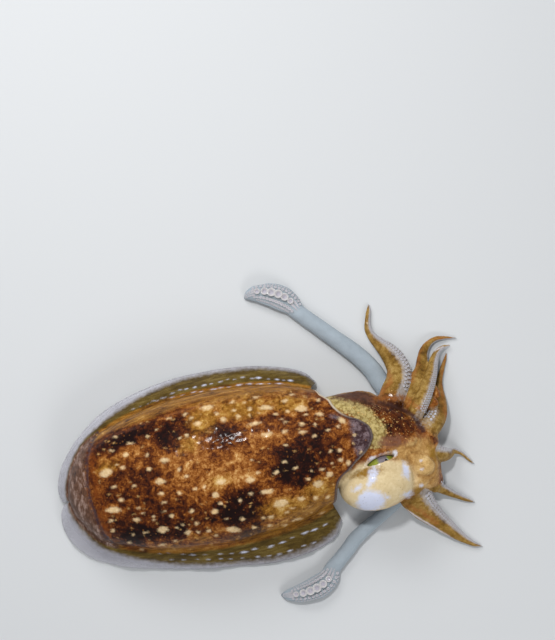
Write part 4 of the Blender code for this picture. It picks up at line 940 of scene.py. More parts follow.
def head_masks(made):
    """Presses the folds into the head and arms, and keeps the masks of their colours."""
    points, normals = points_of(made), normals_of(made)
    best, share, turn, limb = arm_places(points)
    on_arm = ramp(share, 0.12, 0.24) * (1 - ramp(best, 0.22, 0.42))
    shape = points * (1, 1, 0)
    high = ramp(points[:, 2], 20, 30) * ramp(normals[:, 2], -0.1, 0.3)
    collar = (1 - ramp(plan_distance(points, COLLAR_LINE), 1.5, 15)) * high
    crust = ramp(collar, 0.4, 0.8)
    smooth = inside_ovals(shape, HEAD_AREAS["face"][0] + HEAD_AREAS["bulge"][0], 6)
    heights = (0.22 * lumps(points, 7, 5) + 0.10 * lumps(points, 2.6, 6, 2)) * (1 - 0.6 * smooth)
    heights += 0.5 * crust * lumps(points, 3.2, 7, 1)
    for x, y, length, width, height in HEAD_KNOBS:
        reach = ((points[:, 0] - x) / length) ** 2 + ((points[:, 1] - y) / width) ** 2
        heights += height * np.exp(-1.3 * reach) * high
    hollow = np.zeros(len(points))
    for line, depth, width in HEAD_FOLDS:
        pressed = depth * near_lines(points, [line], width) * high * (1 - 0.6 * on_arm)
        heights -= pressed
        hollow = np.maximum(hollow, pressed)
    heights *= np.where(points[:, 2] < 1.5, 0, 1)
    move_points(made, clear_of_eyes(points + normals * heights[:, None]))
    # hollow is how deep each point lies in a pressed fold; the finish darkens the skin by it, a painted shade
    set_mask(made, "hollow", np.clip(hollow, 0, 1))

    warp = np.stack([lumps(points, 9, 31, 2), lumps(points, 9, 32, 2), 0 * share], axis=-1) * 1.5
    place = shape + warp
    areas = {name: inside_ovals(place, ovals, soft) * high for name, (ovals, soft) in HEAD_AREAS.items()}
    areas["bulge"] = inside_ovals(place, *HEAD_AREAS["bulge"]) * ramp(points[:, 2], 6, 14)
    areas["blotch"] = inside_ovals(place, *HEAD_AREAS["blotch"]) * ramp(points[:, 2], 8, 18)
    from_side = (points + warp)[:, [0, 2]]
    left_side = ramp(normals[:, 1], 0.15, 0.5) * (points[:, 1] > 5)
    for name, (ovals, soft) in SIDE_AREAS.items():
        areas[name] = inside_ovals(from_side, ovals, soft) * left_side
    for name, area in areas.items():
        set_mask(made, name, area * (1 - on_arm))
    # painted shadow: a dark line along the crease where the head's edge overhangs the arms' roots
    hood = near_lines(points, [HOOD_LINE], 3.2) * high
    shade = 0.56 - 0.27 * areas["bark"]
    shade += (0.58 - 0.26 * inside_ovals(place, ARM_DARKS, 4) - shade) * on_arm
    set_mask(made, "shade", shade)
    set_mask(made, "collar", collar)
    set_mask(made, "hood", 0.8 * hood)
    near_collar = 1 - ramp(plan_distance(points, COLLAR_LINE), 5, 26)
    set_mask(made, "specks", areas["bark"] * (0.44 + 0.5 * near_collar) * (1 - on_arm))
    set_mask(made, "arm", on_arm)
    dull = np.array([0.74 * ORAL_SHARE.get(name, 1.0) for name in ARMS] + [0.0])
    set_mask(made, "oral", on_arm * (1 - ramp(np.abs(turn), 34, 60)) * dull[limb])
    over = ramp(normals[:, 2], 0.0, 0.4)
    set_mask(made, "rust", 0.54 * near_lines(points, RUST_LINES, 3.6) * over)
    set_mask(made, "edge", 0.7 * near_lines(points, PALE_LINES, 1.1) * over)
    low = 1 - ramp(points[:, 2] + 3.0 * lumps(points, 9, 33, 3), 0, 11)
    down = 1 - ramp(normals[:, 2], -0.95, -0.6) * (1 - on_arm) - ramp(normals[:, 2], -0.6, -0.1) * on_arm
    set_mask(made, "under", np.maximum(down, low * (1 - on_arm)))
    lids = np.zeros(len(points))
    for side, values in EYES.items():
        ring = opening_ring(*values, depth=0.0, spread=1.04)
        out = eye_axes(values[2], values[5])[0]
        flat = points - np.outer((points - np.array(values[0])) @ out, out)
        index, distance = nearest(flat, ring)
        facing = (points - np.array(values[0])) @ out > values[1] * 0.5
        lower = ramp((points - np.array(values[0])) @ eye_axes(values[2], values[5])[2], -5, 1)
        lids = np.maximum(lids, (1 - ramp(distance, 0.8, 2.4)) * facing * LID_PALENESS[side] * lower)
    set_mask(made, "lid", lids)


def node(tree, kind, values=None, **settings):
    """A node of a kind, with settings, and inputs that are values or other nodes' outputs."""
    made = tree.nodes.new(kind)
    for key, value in settings.items():
        setattr(made, key, value)
    for key, value in (values or {}).items():
        if isinstance(value, bpy.types.NodeSocket):
            tree.links.new(value, made.inputs[key])
        else:
            made.inputs[key].default_value = value
    return made


def maths(tree, operation, one, two=0.0, clamp=False):
    return node(tree, "ShaderNodeMath", {0: one, 1: two}, operation=operation, use_clamp=clamp).outputs[0]


def summed(tree, start, *terms):
    """A start with terms of (value, factor) added to it."""
    for value, factor in terms:
        start = maths(tree, "ADD", start, maths(tree, "MULTIPLY", value, factor))
    return start


def blended(tree, factor, one, two):
    return node(tree, "ShaderNodeMix", {0: factor, 6: one, 7: two}, data_type="RGBA").outputs[2]


def mask_value(tree, name):
    return node(tree, "ShaderNodeAttribute", attribute_name=name).outputs["Fac"]


def group(name, inputs, outputs, kind="ShaderNodeTree"):
    """A new node group with its sockets, its input node's outputs and its output node."""
    tree = bpy.data.node_groups.new(name, kind)
    for label, (socket, value) in inputs.items():
        made = tree.interface.new_socket(name=label, in_out="INPUT", socket_type=socket)
        if value is not None:
            made.default_value = value
    for label, socket in outputs.items():
        tree.interface.new_socket(name=label, in_out="OUTPUT", socket_type=socket)
    return tree, tree.nodes.new("NodeGroupInput").outputs, tree.nodes.new("NodeGroupOutput")


def place_group(tree, group_tree, values):
    return node(tree, "ShaderNodeGroup", values, node_tree=group_tree).outputs


def broken_edge_group():
    """Turns a soft mask into a patch with an irregular edge, broken into lumps of a size in millimetres."""
    number = "NodeSocketFloat"
    tree, given, result = group("broken_edge", {"Mask": (number, 0.0), "Lump": (number, 4.0),
                                                "Break": (number, 0.5), "Soft": (number, 0.2)},
                                {"Factor": number})
    place = node(tree, "ShaderNodeTexCoord").outputs["Object"]
    scale = maths(tree, "DIVIDE", 1 / MM, given["Lump"])
    noise = node(tree, "ShaderNodeTexNoise", {"Vector": place, "Scale": scale, "Detail": 3.0,
                                              "Roughness": 0.62})
    shift = maths(tree, "MULTIPLY", maths(tree, "SUBTRACT", noise.outputs["Fac"], 0.5), given["Break"])
    inside = maths(tree, "GREATER_THAN", given["Mask"], 0.02)
    value = summed(tree, given["Mask"], (maths(tree, "MULTIPLY", shift, 2.0), inside))
    low = maths(tree, "SUBTRACT", 0.5, given["Soft"])
    high = maths(tree, "ADD", 0.5, given["Soft"])
    factor = node(tree, "ShaderNodeMapRange", {0: value, 1: low, 2: high}, interpolation_type="SMOOTHSTEP")
    tree.links.new(factor.outputs[0], result.inputs["Factor"])
    return tree


def speckle_group():
    """Round specks a spacing apart, of which a share shows, each of its own size."""
    number = "NodeSocketFloat"
    tree, given, result = group("speckle", {"Spacing": (number, 2.0), "Share": (number, 0.5),
                                            "Size": (number, 0.35)}, {"Specks": number})
    place = node(tree, "ShaderNodeTexCoord").outputs["Object"]
    scale = maths(tree, "DIVIDE", 1 / MM, given["Spacing"])
    warp = node(tree, "ShaderNodeTexNoise", {"Vector": place, "Scale": scale, "Detail": 1.0})
    moved = node(tree, "ShaderNodeVectorMath", {0: warp.outputs["Color"], 3: 0.35 * MM}, operation="SCALE")
    spot = node(tree, "ShaderNodeVectorMath", {0: place, 1: moved.outputs[0]}, operation="ADD").outputs[0]
    cells = node(tree, "ShaderNodeTexVoronoi", {"Vector": spot, "Scale": scale, "Randomness": 0.9})
    split = node(tree, "ShaderNodeSeparateColor", {0: cells.outputs["Color"]})
    size = maths(tree, "MULTIPLY", given["Size"], maths(tree, "ADD", 0.5, split.outputs[1]))
    shown = maths(tree, "LESS_THAN", split.outputs[0], given["Share"])
    soft = node(tree, "ShaderNodeMapRange", {0: cells.outputs["Distance"], 1: size,
                                             2: maths(tree, "MULTIPLY", size, 0.55)},
                interpolation_type="SMOOTHSTEP")
    tree.links.new(maths(tree, "MULTIPLY", soft.outputs[0], shown), result.inputs["Specks"])
    return tree


def mottle_group():
    """Uneven light and dark in the flesh, about 0, and the fine height of its wet, pebbled surface."""
    number = "NodeSocketFloat"
    tree, given, result = group("mottle", {"Lump": (number, 3.0), "Streak": (number, 1.0),
                                           "Reach": (number, 1.0)}, {"Tone": number, "Height": number})
    place = node(tree, "ShaderNodeTexCoord").outputs["Object"]
    squeezed = node(tree, "ShaderNodeCombineXYZ", {0: given["Streak"], 1: 1.0, 2: 1.0}).outputs[0]
    drawn = node(tree, "ShaderNodeVectorMath", {0: place, 1: squeezed}, operation="MULTIPLY").outputs[0]
    scale = maths(tree, "DIVIDE", 1 / MM, given["Lump"])
    broad = node(tree, "ShaderNodeTexNoise", {"Vector": drawn, "Scale": maths(tree, "MULTIPLY", scale, 0.33),
                                              "Detail": 2.0, "Distortion": 0.8}).outputs["Fac"]
    coarse = node(tree, "ShaderNodeTexNoise", {"Vector": drawn, "Scale": scale, "Detail": 4.0,
                                               "Roughness": 0.6, "Distortion": 0.5}).outputs["Fac"]
    fine = node(tree, "ShaderNodeTexNoise", {"Vector": place, "Scale": 1 / (0.9 * MM),
                                             "Detail": 2.0}).outputs["Fac"]
    pebbles = node(tree, "ShaderNodeTexVoronoi", {"Vector": place, "Scale": 1 / (1.4 * MM)},
                   feature="SMOOTH_F1").outputs["Distance"]
    total = summed(tree, 0.0, *((maths(tree, "SUBTRACT", source, 0.5), share)
                                for source, share in ((broad, 1.0), (coarse, 0.8), (fine, 0.45))))
    tree.links.new(maths(tree, "MULTIPLY", total, given["Reach"]), result.inputs["Tone"])
    height = summed(tree, 0.0, (coarse, 0.5), (fine, 0.45), (pebbles, -0.5))
    tree.links.new(height, result.inputs["Height"])
    return tree


broken_edge = broken_edge_group()
speckle = speckle_group()
mottle = mottle_group()


def painted(tree, colour, layers):
    """Lays patches over a colour, each a mask, a colour, and its edge's lump, break and softness."""
    for mask, over, lump, break_up, soft in layers:
        given = mask_value(tree, mask) if isinstance(mask, str) else mask
        edge = {"Mask": given, "Lump": lump, "Break": break_up, "Soft": soft}
        factor = place_group(tree, broken_edge, edge)[0]
        colour = blended(tree, factor, colour, linear(over) if isinstance(over, str) else over)
    return colour


def finish(name, colour_steps, bump, roughness=0.55, coat=0.3, coat_roughness=0.09):
    """A wet finish, from colour_steps that give its colour, its height, and its alpha or None."""
    made = bpy.data.materials.new(name)
    made.use_nodes = True
    tree = made.node_tree
    shader = tree.nodes["Principled BSDF"]
    colour, height, alpha = colour_steps(tree)
    tree.links.new(colour, shader.inputs["Base Color"])
    relief = node(tree, "ShaderNodeBump", {"Height": height, "Strength": bump, "Distance": 0.6 * MM})
    tree.links.new(relief.outputs[0], shader.inputs["Normal"])
    if alpha is not None:
        tree.links.new(alpha, shader.inputs["Alpha"])
    shader.inputs["Roughness"].default_value = roughness
    shader.inputs["Specular IOR Level"].default_value = 0.08
    shader.inputs["Coat Weight"].default_value = coat
    shader.inputs["Coat Roughness"].default_value = coat_roughness
    return made


def toned(tree, tone, stops):
    """A colour read from steps between dark and light."""
    ramp_node = node(tree, "ShaderNodeValToRGB", {0: tone})
    steps = ramp_node.color_ramp.elements
    while len(steps) < len(stops):
        steps.new(0.5)
    for step, (place, colour) in zip(steps, stops):
        step.position = place
        step.color = linear(colour)
    return ramp_node.outputs[0]


def mantle_colours(tree):
    """Brown back with chocolate patches and cream bars, golden flanks, and olive fins with a clear edge."""
    grain = place_group(tree, mottle, {"Lump": 3.0, "Streak": 1.0, "Reach": 1.0})
    drawn = place_group(tree, mottle, {"Lump": 2.2, "Streak": 0.22, "Reach": 0.9})
    across = place_group(tree, mottle, {"Lump": 5.0, "Streak": 2.6, "Reach": 1.25})["Tone"]
    flank = mask_value(tree, "flank")
    uneven = summed(tree, 0.0, (grain["Tone"], maths(tree, "SUBTRACT", 1.0, flank)), (drawn["Tone"], flank))
    tone = maths(tree, "ADD", mask_value(tree, "tone"), uneven)
    plain = maths(tree, "ADD", 0.5, uneven)
    colour = painted(tree, toned(tree, tone, BROWN_TONES), [
        ("gold", toned(tree, tone, GOLD_TONES), 5, 0.5, 0.4), ("orange", "orange", 4, 0.8, 0.45),
        ("band", toned(tree, maths(tree, "ADD", 0.5, across), ROSE_TONES), 3, 0.7, 0.4),
        ("web", toned(tree, plain, OLIVE_TONES), 5, 0.3, 0.45),
        ("lobe", toned(tree, plain, LOBE_TONES), 3, 0.6, 0.4), ("crease", "slate", 3, 0.9, 0.45)])
    flecks = place_group(tree, speckle, {"Spacing": 2.8, "Share": 0.35, "Size": 0.3})[0]
    others = maths(tree, "ADD", mask_value(tree, "web"), mask_value(tree, "band"))
    brown_only = maths(tree, "SUBTRACT", 1.0, others, clamp=True)
    shown = maths(tree, "MULTIPLY", maths(tree, "MULTIPLY", flecks, 0.3), brown_only)
    colour = blended(tree, shown, colour, linear("fleck"))
    pale = shaded(tree, blended(tree, grain["Height"], linear("cream"), linear("shell")), grain["Tone"], 0.5)
    colour = painted(tree, colour, [
        ("small", "peach", 2, 0.6, 0.45), ("pale", pale, 2.2, 0.45, 0.46), ("dash", "lilac", 2, 0.3, 0.45),
        # the slate rim along the front margin's edge is a painted shadow
        ("under", "belly", 6, 0.3, 0.3), ("rim", "slate", 3, 0.2, 0.49), ("margin", "film", 3, 0.2, 0.49),
        ("clear", "clear", 5, 0.35, 0.49)])
    thin = maths(tree, "MULTIPLY", mask_value(tree, "clear"), 0.62)
    return colour, grain["Height"], maths(tree, "SUBTRACT", 1.0, thin)


def shaded(tree, colour, tone, reach):
    """A colour made lighter and darker by an uneven tone, up to a reach."""
    light = summed(tree, 1.0, (tone, reach))
    return node(tree, "ShaderNodeVectorMath", {0: colour, 3: light}, operation="SCALE").outputs[0]


def head_colours(tree):
    """Dark top of the head with cream specks and collar, straw bulge, and olive-gold arms with a whitish
    inner side.
    """
    grain = place_group(tree, mottle, {"Lump": 2.6, "Streak": 1.0, "Reach": 0.9})
    hood_tone = summed(tree, mask_value(tree, "shade"), (grain["Tone"], 0.75))
    arm_tone = summed(tree, mask_value(tree, "shade"), (grain["Tone"], 0.6))
    colour = blended(tree, mask_value(tree, "arm"), toned(tree, hood_tone, BROWN_TONES),
                     toned(tree, arm_tone, ARM_TONES))
    crowd, crust, hollow = mask_value(tree, "specks"), mask_value(tree, "collar"), mask_value(tree, "hollow")
    colour = painted(tree, colour, [(maths(tree, "MULTIPLY", crust, 0.85), "khaki", 4, 0.7, 0.35)])
    for spacing, size, strength in ((2.9, 0.27, 0.85), (1.7, 0.34, 0.5)):
        specks = place_group(tree, speckle, {"Spacing": spacing, "Share": crowd, "Size": size})[0]
        colour = blended(tree, maths(tree, "MULTIPLY", specks, strength), colour, linear("peach"))
    for spacing, size, strength in ((3.6, 0.20, 0.6), (2.2, 0.16, 0.5)):
        share = maths(tree, "MULTIPLY", crust, 1.4)
        grown = summed(tree, size, (crust, 0.5))
        cobbles = place_group(tree, speckle, {"Spacing": spacing, "Share": share, "Size": grown})[0]
        colour = blended(tree, maths(tree, "MULTIPLY", cobbles, strength), colour, linear("ivory"))
    mauve = maths(tree, "MULTIPLY", mask_value(tree, "mauve"), 0.75)
    russet = maths(tree, "MULTIPLY", mask_value(tree, "russet"), 0.6)
    # uneven is the flesh's own uneven tone, less a painted shade that darkens the pressed folds
    uneven = summed(tree, 0.0, (grain["Tone"], 0.9), (hollow, -0.16))
    raised = maths(tree, "ADD", mask_value(tree, "knob"), mask_value(tree, "salmon"))
    face = toned(tree, summed(tree, 0.58, (raised, 0.17), (uneven, 0.6)), FACE_TONES)
    cheek = toned(tree, summed(tree, 0.48, (uneven, 1.1)), FACE_TONES)
    bulge = toned(tree, summed(tree, 0.60, (uneven, 0.42)), BULGE_TONES)
    dark = shaded(tree, linear("umber")[:3], uneven, 1.5)
    laid = painted(tree, colour, [
        ("cheek", cheek, 5, 0.5, 0.45), ("neckband", bulge, 4, 0.5, 0.45), ("shadow", dark, 4, 0.7, 0.49),
        ("patch", "pearl", 3, 0.8, 0.45), ("face", face, 4, 0.5, 0.49), (russet, "russet", 3, 0.6, 0.49),
        (mauve, "mauve", 3, 0.7, 0.49), ("bulge", bulge, 4, 0.25, 0.4), ("golden", "mustard", 3, 0.6, 0.49),
        # the dark line along the head's edge over the arms is a painted shadow in that crease
        # the pale flakes hold painted highlights, glints on the cheek knob and the right eye's upper lid,
        # among real lilac spots
        ("blotch", "lilac", 3.5, 0.6, 0.45), ("flake", "pearl", 2, 0.5, 0.4), ("hood", "hood", 3, 0.4, 0.4),
        ("oral", "blossom", 2.5, 0.5, 0.49), ("rust", "rust", 4, 0.6, 0.49), ("edge", "pearl", 2, 0.4, 0.45),
        ("under", "silver", 5, 0.4, 0.45), ("lid", "rim", 2, 0.3, 0.45)])
    calm = summed(tree, 1.0, (mask_value(tree, "bulge"), -0.75))
    colour = shaded(tree, laid, maths(tree, "MULTIPLY", uneven, calm), 0.5)
    dots = place_group(tree, speckle, {"Spacing": 2.4, "Share": 0.4, "Size": 0.2})[0]
    return blended(tree, maths(tree, "MULTIPLY", dots, 0.35), colour, linear("bark")), grain["Height"], None


def plain_flesh(colour, lump, reach):
    """The steps of an unpatterned finish: one palette colour, a little uneven."""
    def steps(tree):
        grain = place_group(tree, mottle, {"Lump": lump, "Streak": 1.0, "Reach": 1.0})
        return shaded(tree, linear(colour)[:3], grain["Tone"], reach), grain["Height"], None
    return steps


def sucker_colours(tree):
    """Milky rims round a lilac-grey hollow."""
    grain = place_group(tree, mottle, {"Lump": 2.5, "Streak": 1.0, "Reach": 1.0})
    colour = painted(tree, linear("milk"), [("cup", "disc", 1.5, 0.2, 0.45)])
    return shaded(tree, colour, grain["Tone"], 0.25), grain["Height"], None


def eye_ball(side, values):
    """An eyeball, with its own axes kept on its points so that the iris and pupil follow them."""
    centre, radius, look, half_length, half_height, turn = values
    out, ahead, across = eye_axes(look, turn)
    latitude = (np.linspace(0, 1, 91)[1:-1] ** 1.35 * pi)[:, None]
    longitude = np.linspace(0, 2 * pi, 112, endpoint=False)
    local = np.stack([np.sin(latitude) * np.cos(longitude), np.sin(latitude) * np.sin(longitude),
                      np.cos(latitude) + 0 * longitude], axis=-1) * radius
    place = np.stack([ahead, across, out])
    centre = np.array(centre, float)
    made = shell(f"eye_{side}_ball", local @ place + centre, centre + out * radius, centre - out * radius)
    offset = points_of(made) - centre
    pupil_ahead, pupil_across, smaller, veil = PUPILS[side]
    set_mask(made, "ahead", offset @ ahead)
    set_mask(made, "across", offset @ across)
    set_mask(made, "pupil_ahead", (offset @ ahead - pupil_ahead) * smaller)
    set_mask(made, "pupil_across", (offset @ across - pupil_across) * (1 + 0.25 * (smaller - 1)))
    set_mask(made, "veil", veil * (1 - ramp(np.abs(offset @ ahead - 2.0), 3.0, 7.0)))
    return made


def eye_colours(tree):
    """A black crescent pupil under a flap with a wavy white edge, a pale ring, and yellow-green ends."""
    ahead, across = mask_value(tree, "ahead"), mask_value(tree, "across")
    along, down = mask_value(tree, "pupil_ahead"), mask_value(tree, "pupil_across")
    veil = mask_value(tree, "veil")
    dropped = maths(tree, "ADD", down, PUPIL_RISE)
    far = maths(tree, "SQRT", summed(tree, 0.0, (along, along), (dropped, dropped)))
    wave = maths(tree, "COSINE", maths(tree, "MULTIPLY", along, 0.85))
    corner = maths(tree, "POWER", maths(tree, "DIVIDE", maths(tree, "ABSOLUTE", along), 7.6), 4.0)
    flap = summed(tree, -2.2, (wave, 0.7), (corner, -3.4))
    below = maths(tree, "SUBTRACT", down, flap)
    round_edge = maths(tree, "SUBTRACT", PUPIL_RADIUS, far)

    def shown(value, start=-0.12, end=0.12):
        return node(tree, "ShaderNodeMapRange", {0: value, 1: start, 2: end}).outputs[0]
    pupil = shown(maths(tree, "MINIMUM", round_edge, below))
    over_flap = maths(tree, "SUBTRACT", 0.5, maths(tree, "ABSOLUTE", maths(tree, "ADD", below, 0.5)))
    flap_rim = shown(maths(tree, "MINIMUM", over_flap, maths(tree, "ADD", round_edge, 0.6)), -0.2, 0.2)
    on_flap = shown(maths(tree, "MINIMUM", maths(tree, "SUBTRACT", -0.6, below), round_edge), -0.6, 0.6)
    near_pupil = maths(tree, "MINIMUM", maths(tree, "ADD", round_edge, 2.3), maths(tree, "ADD", below, 1.0))
    ring = shown(near_pupil, -0.5, 0.5)
    noise = node(tree, "ShaderNodeTexNoise", {"Vector": node(tree, "ShaderNodeTexCoord").outputs["Object"],
                                              "Scale": 700.0, "Detail": 3.0}).outputs["Fac"]
    colour = blended(tree, noise, linear("moss"), linear("olive"))
    colour = blended(tree, veil, colour, linear("smoke"))
    reach = summed(tree, 0.0, (maths(tree, "MULTIPLY", across, across), 2.4), (ahead, ahead))
    colour = blended(tree, shown(maths(tree, "SQRT", reach), 13.0, 15.5), colour, linear("rim"))
    plain = maths(tree, "SUBTRACT", 1.0, veil)
    colour = blended(tree, maths(tree, "MULTIPLY", ring, plain), colour, linear("ring"))
    colour = blended(tree, maths(tree, "MULTIPLY", on_flap, plain), colour, linear("smoke"))
    lit = maths(tree, "MULTIPLY", flap_rim, maths(tree, "ADD", 0.3, plain, clamp=True))
    colour = blended(tree, lit, colour, linear("rim"))
    return blended(tree, pupil, colour, linear("pupil")), noise, None


def cup_template(name, sides, levels):
    """One sucker, a radius of 1 wide: rings of radius, height and how far into its hollow."""
    angles = 2 * pi * np.arange(sides) / sides
    rings = np.array([[(r * cos(a), r * sin(a), z) for a in angles] for r, z, _ in levels]) / MM
    bottom, middle = np.array([0, 0, levels[0][1]]) / MM, np.array([0, 0, levels[-1][1] - 0.03]) / MM
    made = shell(name, rings, bottom, middle)
    depth = np.repeat([level[2] for level in levels], sides)
    set_mask(made, "cup", np.concatenate([depth, [0.0, 1.0]]))
    made.hide_render = True
    return made


SMALL_CUP = [(0.5, -0.9, 0), (0.66, 0.0, 0), (0.98, 0.38, 0), (1.0, 0.62, 0.05), (0.74, 0.70, 0.3),
             (0.42, 0.36, 1)]
LARGE_CUP = [(0.5, -0.8, 0), (0.6, -0.1, 0), (0.84, 0.22, 0), (1.0, 0.5, 0), (1.02, 0.68, 0.02),
             (0.94, 0.80, 0.05), (0.80, 0.80, 0.1), (0.68, 0.68, 0.35), (0.62, 0.60, 0.2), (0.55, 0.58, 0.3),
             (0.46, 0.36, 0.9), (0.25, 0.28, 1.0)]


def sucker_tree():
    """Sets a cup on each point of a mesh, by the point's own direction and radius."""
    number = "NodeSocketFloat"
    tree, given, result = group("sucker_rows", {
        "Geometry": ("NodeSocketGeometry", None), "Cup": ("NodeSocketObject", None), "Size": (number, 1.0),
        "Seed": ("NodeSocketInt", 1), "Finish": ("NodeSocketMaterial", None)},
        {"Geometry": "NodeSocketGeometry"}, "GeometryNodeTree")
    cup = node(tree, "GeometryNodeObjectInfo", {"Object": given["Cup"]}, transform_space="ORIGINAL")
    facing = node(tree, "GeometryNodeInputNamedAttribute", {"Name": "facing"}, data_type="FLOAT_VECTOR")
    radius = node(tree, "GeometryNodeInputNamedAttribute", {"Name": "radius"}, data_type="FLOAT")
    turn = node(tree, "FunctionNodeRandomValue", {2: 0.0, 3: 2 * pi, "Seed": given["Seed"]},
                data_type="FLOAT")
    stand = node(tree, "FunctionNodeAlignRotationToVector", {"Vector": facing.outputs["Attribute"]}, axis="Z")
    spin = node(tree, "FunctionNodeAxisAngleToRotation", {"Axis": (0, 0, 1), "Angle": turn.outputs[1]})
    pose = node(tree, "FunctionNodeRotateRotation", {0: stand.outputs[0], 1: spin.outputs[0]},
                rotation_space="LOCAL")
    scale = maths(tree, "MULTIPLY", radius.outputs["Attribute"], given["Size"])
    copies = node(tree, "GeometryNodeInstanceOnPoints", {
        "Points": given["Geometry"], "Instance": cup.outputs["Geometry"], "Rotation": pose.outputs[0],
        "Scale": scale})
    real = node(tree, "GeometryNodeRealizeInstances", {0: copies.outputs[0]})
    done = node(tree, "GeometryNodeSetMaterial", {"Geometry": real.outputs[0], "Material": given["Finish"]})
    tree.links.new(done.outputs[0], result.inputs[0])
    return tree


def sucker_piece(name, places, cup, seed, finish_material):
    """A piece of suckers, given as (foot, direction out, radius) in millimetres."""
    mesh = bpy.data.meshes.new(name)
    mesh.from_pydata([tuple(np.array(foot) * MM) for foot, _, _ in places], [], [])
    facing = mesh.attributes.new("facing", "FLOAT_VECTOR", "POINT")
    facing.data.foreach_set("vector", np.array([out for _, out, _ in places], np.float32).ravel())
    radius = mesh.attributes.new("radius", "FLOAT", "POINT")
    radius.data.foreach_set("value", np.array([size * MM for _, _, size in places], np.float32))
    made = bpy.data.objects.new(name, mesh)
    bpy.context.scene.collection.objects.link(made)
    change = made.modifiers.new("suckers", "NODES")
    change.node_group = rows_tree
    wanted = {"Cup": cup, "Size": 1.0, "Seed": seed, "Finish": finish_material}
    for item in rows_tree.interface.items_tree:
        if item.in_out == "INPUT" and item.name in wanted:
            change[item.identifier] = wanted[item.name]
    settle(made)
    move_points(made, points_of(made))
    return made


def arm_sucker_places(name, surface):
    """Four staggered rows along the inner side of an arm, smaller and closer towards its tip."""
    samples = route(ARMS[name], 0.25)
    middles, along, right, up = frames(samples)
    places = []
    step = np.linalg.norm(np.diff(middles, axis=0), axis=1).mean()
    first = round(SUCKER_START * len(samples))
    for offset, start in ((-27, 0.0), (-9, 0.5), (9, 0.0), (27, 0.5)):
        travelled, wanted = 0.0, start * 2.4
        for k in range(first, len(samples) - 6):
            travelled += step
            if travelled < wanted:
                continue
            radius = 0.046 * samples[k, 3] + 0.30
            wanted = travelled + 2.3 * radius
            angle = sucker_angle(name, k / (len(samples) - 1)) + offset
            found = set_on(surface, samples[k], middles[k], right[k], up[k], angle)
            if found:
                places.append((*found, radius))
    return places


def set_on(surface, row, middle, right, up, angle):
    """The place on a surface, and the direction out of it, at an angle round a route's section."""
    c, s = cos(radians(angle)), sin(radians(angle))
    across, tall = row[3] / 2, row[4] / 2
    out = right * (c / across) + up * (s / tall)
    out = out / np.linalg.norm(out)
    start = middle + right * (c * across) + up * (s * tall) + out * 3.0
    foot, normal, face, distance = surface.ray_cast(Vector(start), Vector(-out), 6.0)
    if foot is None or normal.dot(Vector(out)) < 0.6 or foot.z < 0.8:
        return None
    return np.array(foot), unit(np.array(normal) + out)


# club suckers by row: degrees from the middle of the face, shares of the club's length, count, radii, swell
CLUB_ROWS = [(-4, 0.20, 0.78, 6, 3.2, 3.0, 1.45), (-38, 0.06, 0.84, 15, 1.35, 1.2, 1.2),
             (-58, 0.10, 0.80, 18, 0.9, 0.8, 1.1), (32, 0.06, 0.84, 14, 1.6, 1.3, 1.2),
             (54, 0.10, 0.80, 18, 1.0, 0.9, 1.1), (16, 0.84, 0.98, 6, 1.1, 0.6, 1),
             (-4, 0.84, 0.98, 6, 1.1, 0.6, 1), (-22, 0.84, 0.98, 6, 1.1, 0.6, 1),
             (4, 0.02, 0.14, 5, 0.7, 1.4, 1), (-16, 0.02, 0.14, 5, 0.7, 1.4, 1)]


def club_sucker_places(side, surface):
    """The large cups of the club's middle row, and the small ones round them."""
    samples = route(CLUBS[side], 0.25)
    middles, along, right, up = frames(samples)
    large, small = [], []
    for number, (offset, first, last, count, start, end, swell) in enumerate(CLUB_ROWS):
        for n in range(count):
            share = n / (count - 1)
            k = round((first + (last - first) * share) * (len(samples) - 1))
            radius = (start + (end - start) * share) * (1 + (swell - 1) * sin(pi * share))
            found = set_on(surface, samples[k], middles[k], right[k], up[k], CLUB_FACE[side] + offset)
            if found:
                (small if number else large).append((*found, radius))
    return large, small


def tentacle_skin(side):
    """A stalk and its club as one smooth skin, with a thin membrane beside the suckers."""
    rows = STALKS[side] + CLUBS[side][1:]
    samples = route(rows, 1.0)
    club_start = len(route(STALKS[side], 1.0)) / len(samples)
    face = CLUB_FACE[side]

    def reach(samples, angles):
        turn = (angles - face + 180) % 360 - 180
        on_club = ramp(np.linspace(0, 1, len(samples)), club_start, club_start + 0.08)[:, None]
        edges = 0.07 * np.exp(-((np.abs(turn) - 74) / 7) ** 2) - 0.05 * np.exp(-(turn / 40) ** 2)
        return 1 + on_club * edges
    made = tube(f"tentacle_{side}_skin", samples, 72, reach)
    points, normals = points_of(made), normals_of(made)
    heights = 0.12 * lumps(points, 6, 41) * (points[:, 2] > 1.5)
    move_points(made, points + normals * heights[:, None])
    return made


def funnel_skin():
    """The jet funnel under the neck, open at its front end."""
    samples = route(FUNNEL, 1.2)
    outer = tube_rings(samples, 64)
    inner_samples = samples[-20:][::-1].copy()
    inner_samples[:, 3:] -= 2 * FUNNEL_WALL
    inner = tube_rings(inner_samples, 64) + np.array([0, 0, FUNNEL_WALL * 0.4])
    return shell("funnel_skin", np.concatenate([outer, inner]))


def mouth_skin():
    """The folded membrane round the mouth, between the roots of the arms."""
    made = ball("mouth_folds", np.array(MOUTH_CENTRE, float), (MOUTH_RADIUS,) * 3, segments=96, rings=48)
    points = points_of(made) - MOUTH_CENTRE
    fold = 1 + 0.06 * np.cos(8 * np.arctan2(points[:, 1], points[:, 2]))
    points[:, 1:] *= fold[:, None]
    move_points(made, points + MOUTH_CENTRE)
    return made


# Camera: the picture's own scale and lean on the floor, with the lens high above the mantle
PICTURE_LEAN = 11.7        # degrees from the picture's level to the mantle's axis
CAMERA_PLACE = (45.0, 0.0, 2430.0)
CAMERA_AIM = (91.2, 132.25, 30.0)
LENS = 135.0
FLOOR_REACH, FLOOR_COLOUR = 3000, (0.60, 0.61, 0.62, 1)
SKY_COLOUR, SKY_STRENGTH = (0.92, 0.96, 1.0, 1), 0.36


